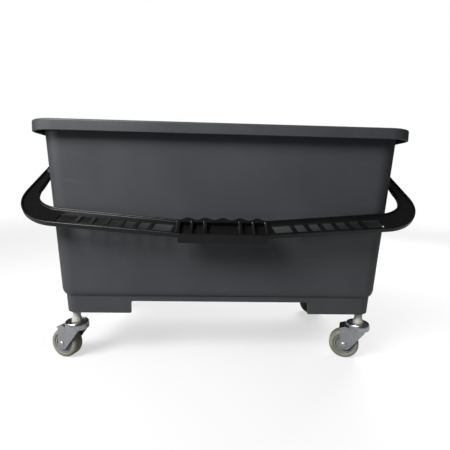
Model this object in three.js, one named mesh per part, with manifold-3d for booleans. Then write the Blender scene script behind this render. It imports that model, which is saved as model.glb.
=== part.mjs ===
// A rectangular mop bucket: a drafted plastic tub on four swivel castors, with a swinging carrying handle.
// Millimetres, +Z up, origin on the floor under the middle of the tub, +X along the tub's length.
import * as THREE from "three";
import { mergeVertices } from "three/addons/utils/BufferGeometryUtils.js";
import Module from "manifold-3d";

const wasm = await Module();
wasm.setup();

// Running clearance between parts that touch or turn.
const GAP = 0.3;
// How far a cutting tool runs past the face that it cuts.
const OVERRUN = 2;

// Wheel
const WHEEL_RADIUS = 21.3;
const TYRE_WIDTH = 18;
const TYRE_DEPTH = 6.8;
const TYRE_SHOULDER = 2.5;
const CORE_RIM_DEPTH = 2.2;
const CORE_RECESS = 2.4;
const HUB_RADIUS = 6;
const AXLE_RADIUS = 2.5;
const AXLE_HEAD_RADIUS = 4.6;
const AXLE_HEAD_HEIGHT = 1.6;
const AXLE_HEAD_FLAT_SHARE = 0.6;
const WHEEL_FACETS = 24;

// Castor fork and swivel
const CASTOR_TRAIL = 18;
const CASTOR_HEIGHT = 55;
const FORK_SHEET = 1.8;
const FORK_EYE_RADIUS = 6.4;
const FORK_EYE_ROUND_SHARE = 0.96;
const FORK_SIDE_GAP = 1.3;
const FORK_OVERHANG = 25.5;
const FORK_NOSE_DROP = 3.2;
const CROWN_RADIUS = 15.8;
const CROWN_DEPTH = 10.2;
const CROWN_FLARE = 1.4;
const CAP_THICKNESS = 1.5;
const CAP_DROP = 0.8;
const CAP_DISH = 0.6;
const BALL_RING_RADIUS = 10.5;
const BALL_COUNT = 8;
const CAGE_THICKNESS = 0.9;
const CAGE_WIDTH = 2.4;

// Castor stem and its plastic sleeve
const STEM_RADIUS = 4;
const STEM_FOOT_RADIUS = 6.2;
const STEM_FOOT_HEIGHT = 1.6;
const SLEEVE_RADIUS = 5.5;
const SLEEVE_FLARE_RADIUS = 7.2;
const SLEEVE_FLARE_HEIGHT = 8;
const SLEEVE_SHOWN = 16;
const SLEEVE_DEPTH = 21;
const SLEEVE_TIP_CHAMFER = 1;

// Tub
const RIM_LENGTH = 500;
const RIM_WIDTH = 270;
const RIM_CORNER_RADIUS = 37;
const RIM_OVERHANG = 12.6;
const RIM_BAND_HEIGHT = 14.2;
const RIM_THICKNESS = 2.8;
const RIM_EDGE_RADIUS = 2.4;
const TUB_HEIGHT = 259;
const WALL_THICKNESS = 3;
const WALL_DRAFT = 0.0634;
const CORNER_TIGHTENING_SHARE = 0.6;
const TUB_FLOOR_THICKNESS = 3.2;
const BELLY_HEIGHT = 13;
const BELLY_INSET = 4.7;
const INNER_FLOOR_RADIUS = 10;
const FOOT_HEIGHT = 26;
const SKIRT_HEIGHT = 8.2;
const FOOT_REACH_X = 125;
const FOOT_REACH_Y = 48;
const NOTCH_RADIUS = 3.5;
const FOOT_TOE_RADIUS = 2;
const SOCKET_INSET = 12.3;
const SOCKET_WALL = 3.4;
const SOCKET_LIFT = 2;
const SOCKET_ROOF = 1.6;
const SOCKET_RIB_THICKNESS = 2.4;
const SOCKET_RIB_LENGTH = 22;

// Handle pivot
const PIVOT_DROP = 34.8;
const BOSS_RADIUS = 11.4;
const BOSS_RIB_DROP = 26;
const BOSS_RIB_THICKNESS = 3;
const PEG_RADIUS = 6.5;
const PEG_LIP = 1.1;
const PEG_LIP_LENGTH = 2.6;
const PEG_SLOT = 2.2;
const EYE_RADIUS = 12;
const EYE_THICKNESS = 8.6;

// Handle bail, in its own plane: across (u), away from the pivots (v), and through its thickness
const HANDLE_BOW = 5.9;
const RIM_SWING_GAP = 2.3;
const HANDLE_FACE_LIFT = 3.3;
const REST_GAP = 0.5;
const ARM_WIDTH = 28;
const ARM_THICKNESS = 7;
const ARM_OUTER_SLOPE = 0.11;
const ARM_INNER_SLOPE = 0.128;
const LEG_WIDTH = 20.5;
const LEG_KNEE = 46;
const LEG_THUMB = 90;
const LEG_SIDE_GAP = 1;
const LEG_SPREAD = 3.4;
const BEND_OUTER_RADIUS = 61.5;
const BEND_INNER_RADIUS = 42;
const FLANGE = 2.6;
const CHANNEL_DEPTH = 2.2;
const CHANNEL_START = 70;
const SLOT_COUNT = 5;
const LONG_SLOT_LENGTH = 24;
const SLOT_HEIGHT = 14;
const SLOT_SHIFT = 1.2;
const SLOT_LEAN = 4;
const SLOT_CORNER = 1.6;
const SLOT_GAP = 5.2;
const SLOT_END_INSET = 2;

// Handle grip
const GRIP_HALF_LENGTH = 56;
const GRIP_THICKNESS = 16;
const GRIP_EDGE = 5;
const GRIP_PROUD = 0.7;
const FINGER_PITCH = 23;
const FINGER_DEPTH = 4.8;
const FINGER_COUNT = 5;
const GRIP_POCKET_DEPTH = 6.5;
const GRIP_END_RIB = 2.4;
const GRIP_RIB = 3;
const GRIP_THICK_RIB = 4.5;
const GRIP_POCKET_HALF = 20;
const GRIP_INNER_LAND = 4.4;

// Roundness of the faceted solids
const CORNER_STEPS = 6;
const FILLET_STEPS = 3;
const BEND_STEPS = 8;
const WAVE_STEPS = 6;
const BALL_FACETS = 6;
const SLOT_STEPS = 2;
const SMALL_FACETS = 12;
const MEDIUM_FACETS = 16;
const LARGE_FACETS = 18;
const CROWN_FACETS = 20;
const WELD_DISTANCE = 1e-4;

// Where each castor has swung to, in degrees: the way the wheel trails, from +X towards +Y
const CASTOR_TURNS = [
  { name: "front_left", x: -1, y: -1, turn: 160 },
  { name: "front_right", x: 1, y: -1, turn: 158 },
  { name: "rear_left", x: -1, y: 1, turn: 150 },
  { name: "rear_right", x: 1, y: 1, turn: 151 },
];

// Heights above the floor
const AXLE_Z = WHEEL_RADIUS * Math.cos(Math.PI / WHEEL_FACETS);
const CROWN_Z = CASTOR_HEIGHT - CROWN_DEPTH;
const FOOT_Z = CASTOR_HEIGHT + SLEEVE_SHOWN;
const SEAM_Z = FOOT_Z + FOOT_HEIGHT;
const NOTCH_Z = SEAM_Z - SKIRT_HEIGHT;
const RIM_Z = FOOT_Z + TUB_HEIGHT;
const PIVOT_Z = RIM_Z - PIVOT_DROP;
const RIM_UNDER_Z = RIM_Z - RIM_THICKNESS;

const material = (name, color, roughness, metalness) =>
  new THREE.MeshStandardMaterial({ name, color, roughness, metalness });
const MATERIALS = {
  tub: material("grey_plastic", 0x55575b, 0.55, 0),
  handle: material("black_plastic", 0x1b1b1b, 0.5, 0),
  sleeve: material("white_nylon", 0xc9c8bf, 0.45, 0),
  zinc: material("zinc_plated_steel", 0xa9adb0, 0.3, 1),
  steel: material("bright_steel", 0xb8babc, 0.25, 1),
  tyre: material("grey_rubber", 0x8d8d80, 0.7, 0),
  core: material("grey_wheel_core", 0x7d7f7c, 0.5, 0),
};

// A closed geometry as a solid that can be cut and joined.
function solid(geometry) {
  const bare = geometry.clone();
  bare.deleteAttribute("normal");
  bare.deleteAttribute("uv");
  const merged = mergeVertices(bare, WELD_DISTANCE);
  return new wasm.Manifold(
    new wasm.Mesh({
      numProp: 3,
      vertProperties: Float32Array.from(merged.attributes.position.array),
      triVerts: Uint32Array.from(merged.index.array),
    }),
  );
}

// A solid back as a geometry for a mesh.
function geometryOf(body) {
  const made = body.getMesh();
  const indexed = new THREE.BufferGeometry();
  indexed.setAttribute("position", new THREE.BufferAttribute(Float32Array.from(made.vertProperties), 3));
  indexed.setIndex(new THREE.BufferAttribute(Uint32Array.from(made.triVerts), 1));
  indexed.computeVertexNormals();
  return indexed;
}

const join = (first, ...rest) => rest.reduce((sum, piece) => sum.add(piece), first);
const cut = (first, ...tools) => tools.reduce((left, tool) => left.subtract(tool), first);

// A profile of [radius, height] points turned about Z. It starts and ends on the axis, or closes on itself.
function turned(profile, facets) {
  return new THREE.LatheGeometry(
    profile.map(([radius, height]) => new THREE.Vector2(radius, height)),
    facets,
  ).rotateX(Math.PI / 2);
}

// A ring profile that closes on itself.
const turnedRing = (profile, facets) => turned([...profile, profile[0]], facets);

// A round bar along Z.
function bar(radius, low, high, facets) {
  return turned([[0, low], [radius, low], [radius, high], [0, high]], facets);
}

// A plate cut to an outline of [x, y] points, between two heights.
function plate(outline, low, high) {
  const shape = new THREE.Shape(outline.map(([x, y]) => new THREE.Vector2(x, y)));
  const flat = new THREE.ExtrudeGeometry(shape, { depth: high - low, bevelEnabled: false });
  return flat.translate(0, 0, low);
}

function block(low, high) {
  const size = high.map((value, axis) => value - low[axis]);
  const middle = high.map((value, axis) => (value + low[axis]) / 2);
  return new THREE.BoxGeometry(...size).translate(...middle);
}

// An outline of [x, y] corners with each corner rounded by its own radius.
function rounded(corners, steps) {
  const points = [];
  corners.forEach(([x, y, radius], index) => {
    const before = corners[(index + corners.length - 1) % corners.length];
    const after = corners[(index + 1) % corners.length];
    const corner = new THREE.Vector2(x, y);
    if (!radius) {
      points.push([x, y]);
      return;
    }
    const back = new THREE.Vector2(before[0], before[1]).sub(corner).normalize();
    const ahead = new THREE.Vector2(after[0], after[1]).sub(corner).normalize();
    const half = Math.acos(THREE.MathUtils.clamp(back.dot(ahead), -1, 1)) / 2;
    const reach = radius / Math.tan(half);
    const inward = back.clone().add(ahead).normalize();
    const centre = corner.clone().addScaledVector(inward, radius / Math.sin(half));
    const from = corner.clone().addScaledVector(back, reach).sub(centre);
    const to = corner.clone().addScaledVector(ahead, reach).sub(centre);
    const turn = Math.atan2(from.x * to.y - from.y * to.x, from.dot(to));
    for (let step = 0; step <= steps; step += 1) {
      const spoke = from.clone().rotateAround(new THREE.Vector2(), (turn * step) / steps);
      points.push([centre.x + spoke.x, centre.y + spoke.y]);
    }
  });
  return points;
}

// One closed level of the tub: a rounded rectangle, inset from the rim's outline, at a height.
function tubLevel(inset, z, radius) {
  const x = RIM_LENGTH / 2 - inset;
  const y = RIM_WIDTH / 2 - inset;
  const corners = [[x, -y, radius], [x, y, radius], [-x, y, radius], [-x, -y, radius]];
  return rounded(corners, CORNER_STEPS).map(([px, py]) => new THREE.Vector3(px, py, z));
}

// A closed shell through rings with as many points each; the first and last ring are filled in.
function loft(rings) {
  const count = rings[0].length;
  const positions = rings.flat().flatMap((point) => point.toArray());
  const index = [];
  for (let level = 0; level + 1 < rings.length; level += 1) {
    for (let side = 0; side < count; side += 1) {
      const a = level * count + side;
      const b = level * count + ((side + 1) % count);
      index.push(a, b, b + count, a, b + count, a + count);
    }
  }
  const last = (rings.length - 1) * count;
  for (let side = 1; side + 1 < count; side += 1) {
    index.push(0, side + 1, side);
    index.push(last, last + side, last + side + 1);
  }
  const shell = new THREE.BufferGeometry();
  shell.setAttribute("position", new THREE.BufferAttribute(Float32Array.from(positions), 3));
  shell.setIndex(index);
  return shell;
}

// The inset of the tub wall's outer face from the rim's outline, at a height.
const wallInset = (z) => RIM_OVERHANG + WALL_DRAFT * (RIM_UNDER_Z - z);
const cornerRadius = (inset) => RIM_CORNER_RADIUS - CORNER_TIGHTENING_SHARE * inset;
const BELLY_Z = SEAM_Z + BELLY_HEIGHT;
const SKIRT_INSET = wallInset(BELLY_Z) + BELLY_INSET;
const skirtInset = (z) => SKIRT_INSET + WALL_DRAFT * (SEAM_Z - z);
const TUB_FLOOR_Z = SEAM_Z + TUB_FLOOR_THICKNESS;

// Points of a quarter ellipse from one [inset, z] to another; it leaves the first one upright or level.
function quarter([inset0, z0], [inset1, z1], upright) {
  return Array.from({ length: FILLET_STEPS + 1 }, (_, step) => {
    const angle = (Math.PI / 2) * (step / FILLET_STEPS);
    const early = 1 - Math.cos(angle);
    const late = Math.sin(angle);
    return [
      THREE.MathUtils.lerp(inset0, inset1, upright ? early : late),
      THREE.MathUtils.lerp(z0, z1, upright ? late : early),
    ];
  });
}

function tubShell() {
  const wall = WALL_THICKNESS;
  const outside = ([inset, z]) => tubLevel(inset, z, cornerRadius(inset));
  const inside = ([inset, z]) => tubLevel(inset, z, cornerRadius(inset - wall) - wall);
  const footInset = skirtInset(FOOT_Z);
  const insideTop = wallInset(RIM_Z) + wall;
  const insideLow = wallInset(TUB_FLOOR_Z + INNER_FLOOR_RADIUS) + wall;
  const edge = RIM_EDGE_RADIUS;
  return loft([
    inside([SKIRT_INSET + wall, SEAM_Z]),
    inside([footInset + wall, FOOT_Z]),
    outside([footInset, FOOT_Z]),
    outside([SKIRT_INSET, SEAM_Z]),
    ...quarter([SKIRT_INSET, SEAM_Z], [wallInset(BELLY_Z), BELLY_Z], false).slice(1).map(outside),
    outside([wallInset(RIM_UNDER_Z), RIM_UNDER_Z]),
    outside([RIM_THICKNESS, RIM_UNDER_Z]),
    outside([RIM_THICKNESS, RIM_Z - RIM_BAND_HEIGHT]),
    outside([0, RIM_Z - RIM_BAND_HEIGHT]),
    ...quarter([0, RIM_Z - edge], [edge, RIM_Z], true).map(outside),
    ...quarter([insideTop - edge, RIM_Z], [insideTop, RIM_Z - edge], false).map(inside),
    ...quarter(
      [insideLow, TUB_FLOOR_Z + INNER_FLOOR_RADIUS],
      [insideLow + INNER_FLOOR_RADIUS, TUB_FLOOR_Z],
      true,
    ).map(inside),
  ]);
}

// The gap between two feet, as a prism through the whole tub: rounded at its top, flared at the toes.
function notchOutline(reach) {
  const low = FOOT_Z - OVERRUN;
  const toe = FOOT_TOE_RADIUS;
  const toeArc = (side) =>
    Array.from({ length: FILLET_STEPS + 1 }, (_, step) => {
      const angle = (Math.PI / 2) * (step / FILLET_STEPS);
      return [side * (reach + toe * (1 - Math.sin(angle))), FOOT_Z + toe * (1 - Math.cos(angle))];
    });
  const top = rounded(
    [
      [reach, NOTCH_Z, NOTCH_RADIUS],
      [-reach, NOTCH_Z, NOTCH_RADIUS],
      [-reach, low, 0],
      [reach, low, 0],
    ],
    FILLET_STEPS,
  );
  return [
    [reach + toe, low],
    ...toeArc(1),
    ...top.slice(0, -2),
    ...toeArc(-1).reverse(),
    [-reach - toe, low],
  ];
}

function footNotches() {
  const long = RIM_LENGTH + OVERRUN;
  const wide = RIM_WIDTH + OVERRUN;
  const front = plate(notchOutline(FOOT_REACH_X), -wide / 2, wide / 2).rotateX(Math.PI / 2);
  const ends = plate(notchOutline(FOOT_REACH_Y), -long / 2, long / 2).rotateX(Math.PI / 2);
  return [solid(front), solid(ends.rotateZ(Math.PI / 2))];
}

// Castor places: the same distance in from both faces of each foot.
const CASTOR_X = RIM_LENGTH / 2 - skirtInset(FOOT_Z) - SOCKET_INSET;
const CASTOR_Y = RIM_WIDTH / 2 - skirtInset(FOOT_Z) - SOCKET_INSET;
const SOCKET_RADIUS = SLEEVE_RADIUS + GAP + SOCKET_WALL;
const SLEEVE_TOP = FOOT_Z + SLEEVE_DEPTH;

// The moulded tube that takes a castor's sleeve, with two ribs to steady it.
function socket(x, y) {
  const low = FOOT_Z + SOCKET_LIFT;
  const high = SEAM_Z + TUB_FLOOR_THICKNESS / 2;
  const half = SOCKET_RIB_THICKNESS / 2;
  const reach = SOCKET_RIB_LENGTH;
  const tube = solid(bar(SOCKET_RADIUS, low, high, MEDIUM_FACETS).translate(x, y, 0));
  const inX = x - Math.sign(x) * reach;
  const inY = y - Math.sign(y) * reach;
  const ribX = block([Math.min(x, inX), y - half, NOTCH_Z], [Math.max(x, inX), y + half, high]);
  const ribY = block([x - half, Math.min(y, inY), NOTCH_Z], [x + half, Math.max(y, inY), high]);
  return join(tube, solid(ribX), solid(ribY));
}

function socketBore(x, y) {
  const bore = bar(SLEEVE_RADIUS + GAP, FOOT_Z - OVERRUN, SLEEVE_TOP + SOCKET_ROOF, MEDIUM_FACETS);
  return solid(bore.translate(x, y, 0));
}

// The pivot boss on an end wall, with its gussets, and the split peg that the handle's eye snaps over.
const BOSS_FACE_X = RIM_LENGTH / 2;
const EYE_START_X = BOSS_FACE_X + GAP;
const EYE_END_X = EYE_START_X + EYE_THICKNESS;
const PEG_END_X = EYE_END_X + GAP + PEG_LIP_LENGTH;

function pivotBoss() {
  const rootX = RIM_LENGTH / 2 - wallInset(PIVOT_Z) - WALL_THICKNESS / 2;
  const pegRootX = BOSS_FACE_X - RIM_OVERHANG / 2;
  const lip = PEG_RADIUS + PEG_LIP;
  const boss = bar(BOSS_RADIUS, rootX, BOSS_FACE_X, LARGE_FACETS);
  const peg = turned(
    [
      [0, pegRootX],
      [PEG_RADIUS, pegRootX],
      [PEG_RADIUS, EYE_END_X + GAP],
      [lip, EYE_END_X + GAP],
      [lip, PEG_END_X - PEG_LIP_LENGTH / 2],
      [PEG_RADIUS - PEG_LIP, PEG_END_X],
      [0, PEG_END_X],
    ],
    MEDIUM_FACETS,
  );
  const atPivot = (piece) => solid(piece.rotateY(Math.PI / 2).translate(0, 0, PIVOT_Z));
  const slot = block(
    [EYE_START_X + PEG_LIP, -PEG_SLOT / 2, PIVOT_Z - lip - OVERRUN],
    [PEG_END_X + OVERRUN, PEG_SLOT / 2, PIVOT_Z + lip + OVERRUN],
  );
  // Two gussets run down the wall from the rim's underside, tangent to the boss.
  const half = BOSS_RIB_THICKNESS / 2;
  const footZ = PIVOT_Z - BOSS_RIB_DROP;
  const topZ = RIM_UNDER_Z + RIM_THICKNESS / 2;
  const faceX = BOSS_FACE_X - RIM_THICKNESS / 2;
  const wallX = (z) => RIM_LENGTH / 2 - wallInset(z) - WALL_THICKNESS / 2;
  const outline = [[wallX(footZ), footZ], [faceX, PIVOT_Z], [faceX, topZ], [wallX(topZ), topZ]];
  const gussets = [-1, 1].map((hand) =>
    solid(plate(outline, -half, half).rotateX(Math.PI / 2).translate(0, hand * (BOSS_RADIUS - half), 0)),
  );
  return cut(join(atPivot(boss), atPivot(peg), ...gussets), solid(slot));
}

function tub() {
  const places = CASTOR_TURNS.map(({ x, y }) => [x * CASTOR_X, y * CASTOR_Y]);
  let body = cut(solid(tubShell()), ...footNotches());
  body = join(body, ...places.map(([x, y]) => socket(x, y)));
  body = cut(body, ...places.map(([x, y]) => socketBore(x, y)));
  const right = pivotBoss();
  return geometryOf(join(body, right, right.mirror([1, 0, 0])));
}

// The end of the flat of the tub's front wall, where its corner starts.
const FRONT_FLAT_U = RIM_LENGTH / 2 - wallInset(PIVOT_Z) - cornerRadius(wallInset(PIVOT_Z));
const LEG_INNER_U = RIM_LENGTH / 2 + LEG_SIDE_GAP;
const HANDLE_HALF_WIDTH = LEG_INNER_U + HANDLE_BOW + LEG_WIDTH;
const KNEE_U = EYE_END_X + LEG_SPREAD;

// The arms' inner edge passes over the rim's front edge when the handle is raised.
const pastGrip = (u) => Math.max(0, Math.abs(u) - GRIP_HALF_LENGTH);
const RIM_SWING_RADIUS = Math.hypot(RIM_WIDTH / 2, PIVOT_DROP) + RIM_SWING_GAP;
const HANDLE_REACH = RIM_SWING_RADIUS + ARM_INNER_SLOPE * pastGrip(FRONT_FLAT_U) + ARM_WIDTH / 2;

// The handle's edges across its plane: how far out (v) they lie at a distance (u) from the middle.
const armInner = (u) => HANDLE_REACH - ARM_WIDTH / 2 - ARM_INNER_SLOPE * pastGrip(u);
const armOuter = (u) => HANDLE_REACH + ARM_WIDTH / 2 - ARM_OUTER_SLOPE * pastGrip(u);

// The right arm and leg of the bail, or its channel when drawn in by an inset and started further along.
function bailOutline(inset, start, end) {
  const outerU = HANDLE_HALF_WIDTH - inset;
  const innerU = HANDLE_HALF_WIDTH - LEG_WIDTH + inset;
  const knee = Math.max(LEG_KNEE, start);
  const kneeShare = (knee - LEG_KNEE) / (armOuter(outerU) - LEG_KNEE);
  const kneeU = THREE.MathUtils.lerp(KNEE_U, HANDLE_HALF_WIDTH, kneeShare) - inset;
  const eyeSide = start < EYE_RADIUS ? [[EYE_END_X, start, 0], [EYE_END_X, EYE_RADIUS, 0]] : [];
  const corners = [
    ...eyeSide,
    [kneeU, knee, 0],
    [outerU, armOuter(outerU) - inset, BEND_OUTER_RADIUS - inset],
    [end, armOuter(end) - inset, 0],
    [end, armInner(end) + inset, 0],
    [innerU, armInner(innerU) + inset, BEND_INNER_RADIUS + inset],
    [LEG_INNER_U + inset, Math.max(LEG_THUMB, start), 0],
    [LEG_INNER_U + inset, start, 0],
  ];
  return rounded(corners, BEND_STEPS);
}

// A slot through the web, with slanted ends, leaning outwards and following the arm's slope.
function slotOutline(centre, length) {
  const v = HANDLE_REACH + SLOT_SHIFT - ARM_OUTER_SLOPE * pastGrip(centre);
  const half = SLOT_HEIGHT / 2;
  const lean = SLOT_LEAN / 2;
  const rise = ARM_OUTER_SLOPE * (length / 2);
  const corners = [
    [centre - length / 2 + lean, v + half + rise, SLOT_CORNER],
    [centre - length / 2 - lean, v - half + rise, SLOT_CORNER],
    [centre + length / 2 - lean, v - half - rise, SLOT_CORNER],
    [centre + length / 2 + lean, v + half - rise, SLOT_CORNER],
  ];
  return rounded(corners, SLOT_STEPS);
}

// The grip's outline: a row of finger waves along its inner edge.
function gripOutline() {
  const inner = HANDLE_REACH - ARM_WIDTH / 2;
  const outer = HANDLE_REACH + ARM_WIDTH / 2 + GRIP_PROUD;
  const waves = FINGER_COUNT * WAVE_STEPS;
  const span = Math.min(FINGER_COUNT * FINGER_PITCH, 2 * GRIP_HALF_LENGTH);
  const edge = Array.from({ length: waves + 1 }, (_, step) => {
    const u = -span / 2 + (span * step) / waves;
    const swell = (1 - Math.cos((2 * Math.PI * FINGER_COUNT * step) / waves)) / 2;
    return [u, inner - FINGER_DEPTH * swell];
  });
  return [[GRIP_HALF_LENGTH, outer], [-GRIP_HALF_LENGTH, outer], ...edge];
}

// Heights through the handle's thickness: its shown face is the low one.
const FACE = -HANDLE_FACE_LIFT;
const ARM_BACK = FACE + ARM_THICKNESS;
const GRIP_BACK = FACE + GRIP_THICKNESS;

function grip() {
  const shape = new THREE.Shape(gripOutline().map(([u, v]) => new THREE.Vector2(u, v)));
  const padded = new THREE.ExtrudeGeometry(shape, {
    depth: GRIP_THICKNESS,
    bevelThickness: GRIP_EDGE,
    bevelSize: GRIP_EDGE,
    bevelOffset: -GRIP_EDGE,
    bevelSegments: 2,
  }).translate(0, 0, GRIP_BACK - GRIP_EDGE - GRIP_THICKNESS);
  const reach = 2 * GRIP_HALF_LENGTH;
  const above = block([-reach, 0, GRIP_BACK - 2 * reach], [reach, HANDLE_REACH + reach, FACE]);
  return cut(solid(padded), solid(above));
}

// The blind pockets in the grip's shown face, between upright ribs.
function gripPockets() {
  const low = HANDLE_REACH - ARM_WIDTH / 2 + GRIP_INNER_LAND;
  const high = HANDLE_REACH + ARM_WIDTH / 2 + GRIP_PROUD - FLANGE;
  const inside = GRIP_POCKET_HALF + GRIP_THICK_RIB;
  const outside = GRIP_HALF_LENGTH - GRIP_END_RIB;
  const middle = (inside + outside) / 2;
  const spans = [
    [-GRIP_POCKET_HALF, GRIP_POCKET_HALF],
    [inside, middle - GRIP_RIB / 2],
    [middle + GRIP_RIB / 2, outside],
    [-middle + GRIP_RIB / 2, -inside],
    [-outside, -middle - GRIP_RIB / 2],
  ];
  const floor = FACE + GRIP_POCKET_DEPTH;
  return spans.map(([from, to]) => solid(block([from, low, FACE - OVERRUN], [to, high, floor])));
}

// The row of slots along an arm: a long one at each end, and short ones that share the way between them.
function slotRow() {
  const rowStart = GRIP_HALF_LENGTH + GRIP_END_RIB + SLOT_GAP;
  const rowEnd = HANDLE_HALF_WIDTH - BEND_OUTER_RADIUS - SLOT_END_INSET;
  const shortRun = rowEnd - rowStart - 2 * LONG_SLOT_LENGTH - (SLOT_COUNT + 1) * SLOT_GAP;
  const shortLength = shortRun / SLOT_COUNT;
  const firstShort = rowStart + LONG_SLOT_LENGTH + SLOT_GAP + shortLength / 2;
  const shorts = Array.from({ length: SLOT_COUNT }, (_, index) =>
    slotOutline(firstShort + index * (shortLength + SLOT_GAP), shortLength),
  );
  return [
    slotOutline(rowStart + LONG_SLOT_LENGTH / 2, LONG_SLOT_LENGTH),
    ...shorts,
    slotOutline(rowEnd - LONG_SLOT_LENGTH / 2, LONG_SLOT_LENGTH),
  ];
}

function rightHalf() {
  const arm = solid(plate(bailOutline(0, 0, GRIP_HALF_LENGTH - OVERRUN), FACE, ARM_BACK));
  const channel = bailOutline(FLANGE, CHANNEL_START, GRIP_HALF_LENGTH + GRIP_END_RIB);
  const faceChannel = solid(plate(channel, FACE - OVERRUN, FACE + CHANNEL_DEPTH));
  const backChannel = solid(plate(channel, ARM_BACK - CHANNEL_DEPTH, ARM_BACK + OVERRUN));
  const slots = slotRow().map((outline) => solid(plate(outline, FACE - OVERRUN, ARM_BACK + OVERRUN)));
  const eye = bar(EYE_RADIUS, EYE_START_X, EYE_END_X, LARGE_FACETS).rotateY(Math.PI / 2);
  const bore = bar(PEG_RADIUS + GAP, EYE_START_X - OVERRUN, EYE_END_X + OVERRUN, MEDIUM_FACETS);
  const pierced = join(cut(arm, faceChannel, backChannel, ...slots), solid(eye));
  return cut(pierced, solid(bore.rotateY(Math.PI / 2)));
}

function handle() {
  const right = rightHalf();
  return geometryOf(cut(join(right, right.mirror([1, 0, 0]), grip()), ...gripPockets()));
}

// How far below level the handle hangs when an edge of its arms rests against the flat of the tub's wall.
function restAngle(thickness) {
  const v = armInner(FRONT_FLAT_U);
  const wall = RIM_WIDTH / 2 - wallInset(PIVOT_Z) + REST_GAP;
  const a = v + WALL_DRAFT * thickness;
  const b = WALL_DRAFT * v - thickness;
  return Math.atan2(b, a) + Math.acos(wall / Math.hypot(a, b));
}

function sleeve() {
  const low = CASTOR_HEIGHT - CAP_DROP + GAP;
  const bore = STEM_RADIUS + GAP;
  const knee = low + SLEEVE_FLARE_HEIGHT;
  return turnedRing(
    [
      [bore, low],
      [SLEEVE_FLARE_RADIUS, low],
      [SLEEVE_FLARE_RADIUS, low + SLEEVE_FLARE_HEIGHT / 3],
      [SLEEVE_RADIUS, knee],
      [SLEEVE_RADIUS, SLEEVE_TOP - SLEEVE_TIP_CHAMFER],
      [SLEEVE_RADIUS - SLEEVE_TIP_CHAMFER, SLEEVE_TOP],
      [bore, SLEEVE_TOP],
    ],
    SMALL_FACETS,
  );
}

// Under the crown's floor the stem is spread into a rivet foot; its tip stops short of the sleeve's top.
const CROWN_FLOOR_Z = CROWN_Z + FORK_SHEET;

function stem() {
  const foot = CROWN_Z - GAP;
  return turned(
    [
      [0, foot - STEM_FOOT_HEIGHT],
      [STEM_FOOT_RADIUS - STEM_FOOT_HEIGHT / 2, foot - STEM_FOOT_HEIGHT],
      [STEM_FOOT_RADIUS, foot - STEM_FOOT_HEIGHT / 2],
      [STEM_FOOT_RADIUS, foot],
      [STEM_RADIUS, foot],
      [STEM_RADIUS, SLEEVE_TOP - SLEEVE_TIP_CHAMFER],
      [0, SLEEVE_TOP - SLEEVE_TIP_CHAMFER],
    ],
    SMALL_FACETS,
  );
}

// The dished cap that rides on the balls, sunk a little inside the crown's lip.
function cap() {
  const top = CASTOR_HEIGHT - CAP_DROP;
  const outer = CROWN_RADIUS - FORK_SHEET - 2 * GAP;
  const bore = STEM_RADIUS + GAP;
  const dishRadius = (outer + SLEEVE_FLARE_RADIUS) / 2;
  return turnedRing(
    [
      [bore, top - CAP_THICKNESS],
      [dishRadius, top - CAP_THICKNESS],
      [outer, top - CAP_THICKNESS - CAP_DISH / 2],
      [outer, top - CAP_DISH / 2],
      [dishRadius, top],
      [bore, top],
    ],
    MEDIUM_FACETS,
  );
}

// Steel balls held in their cage, between the crown's floor and the cap.
const CAP_UNDER_Z = CASTOR_HEIGHT - CAP_DROP - CAP_THICKNESS - CAP_DISH / 2;
const BALL_RADIUS = (CAP_UNDER_Z - CROWN_FLOOR_Z) / 2 - GAP;

function balls() {
  const z = CROWN_FLOOR_Z + GAP + BALL_RADIUS;
  const low = z - CAGE_THICKNESS / 2;
  const high = z + CAGE_THICKNESS / 2;
  const inner = BALL_RING_RADIUS - CAGE_WIDTH / 2;
  const outer = BALL_RING_RADIUS + CAGE_WIDTH / 2;
  const section = [[inner, low], [outer, low], [outer, high], [inner, high]];
  const cage = solid(turnedRing(section, MEDIUM_FACETS));
  const row = Array.from({ length: BALL_COUNT }, (_, index) => {
    const angle = (2 * Math.PI * index) / BALL_COUNT;
    const ball = new THREE.SphereGeometry(BALL_RADIUS, BALL_FACETS, BALL_FACETS / 2).rotateX(Math.PI / 2);
    const x = BALL_RING_RADIUS * Math.cos(angle);
    const y = BALL_RING_RADIUS * Math.sin(angle);
    return solid(ball.translate(x, y, z));
  });
  return geometryOf(join(cage, ...row));
}

// The pressed fork, with the stem on the Z axis and the wheel trailing along +X.
const FORK_INNER = TYRE_WIDTH / 2 + FORK_SIDE_GAP;
const FORK_OUTER = FORK_INNER + FORK_SHEET;

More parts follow.
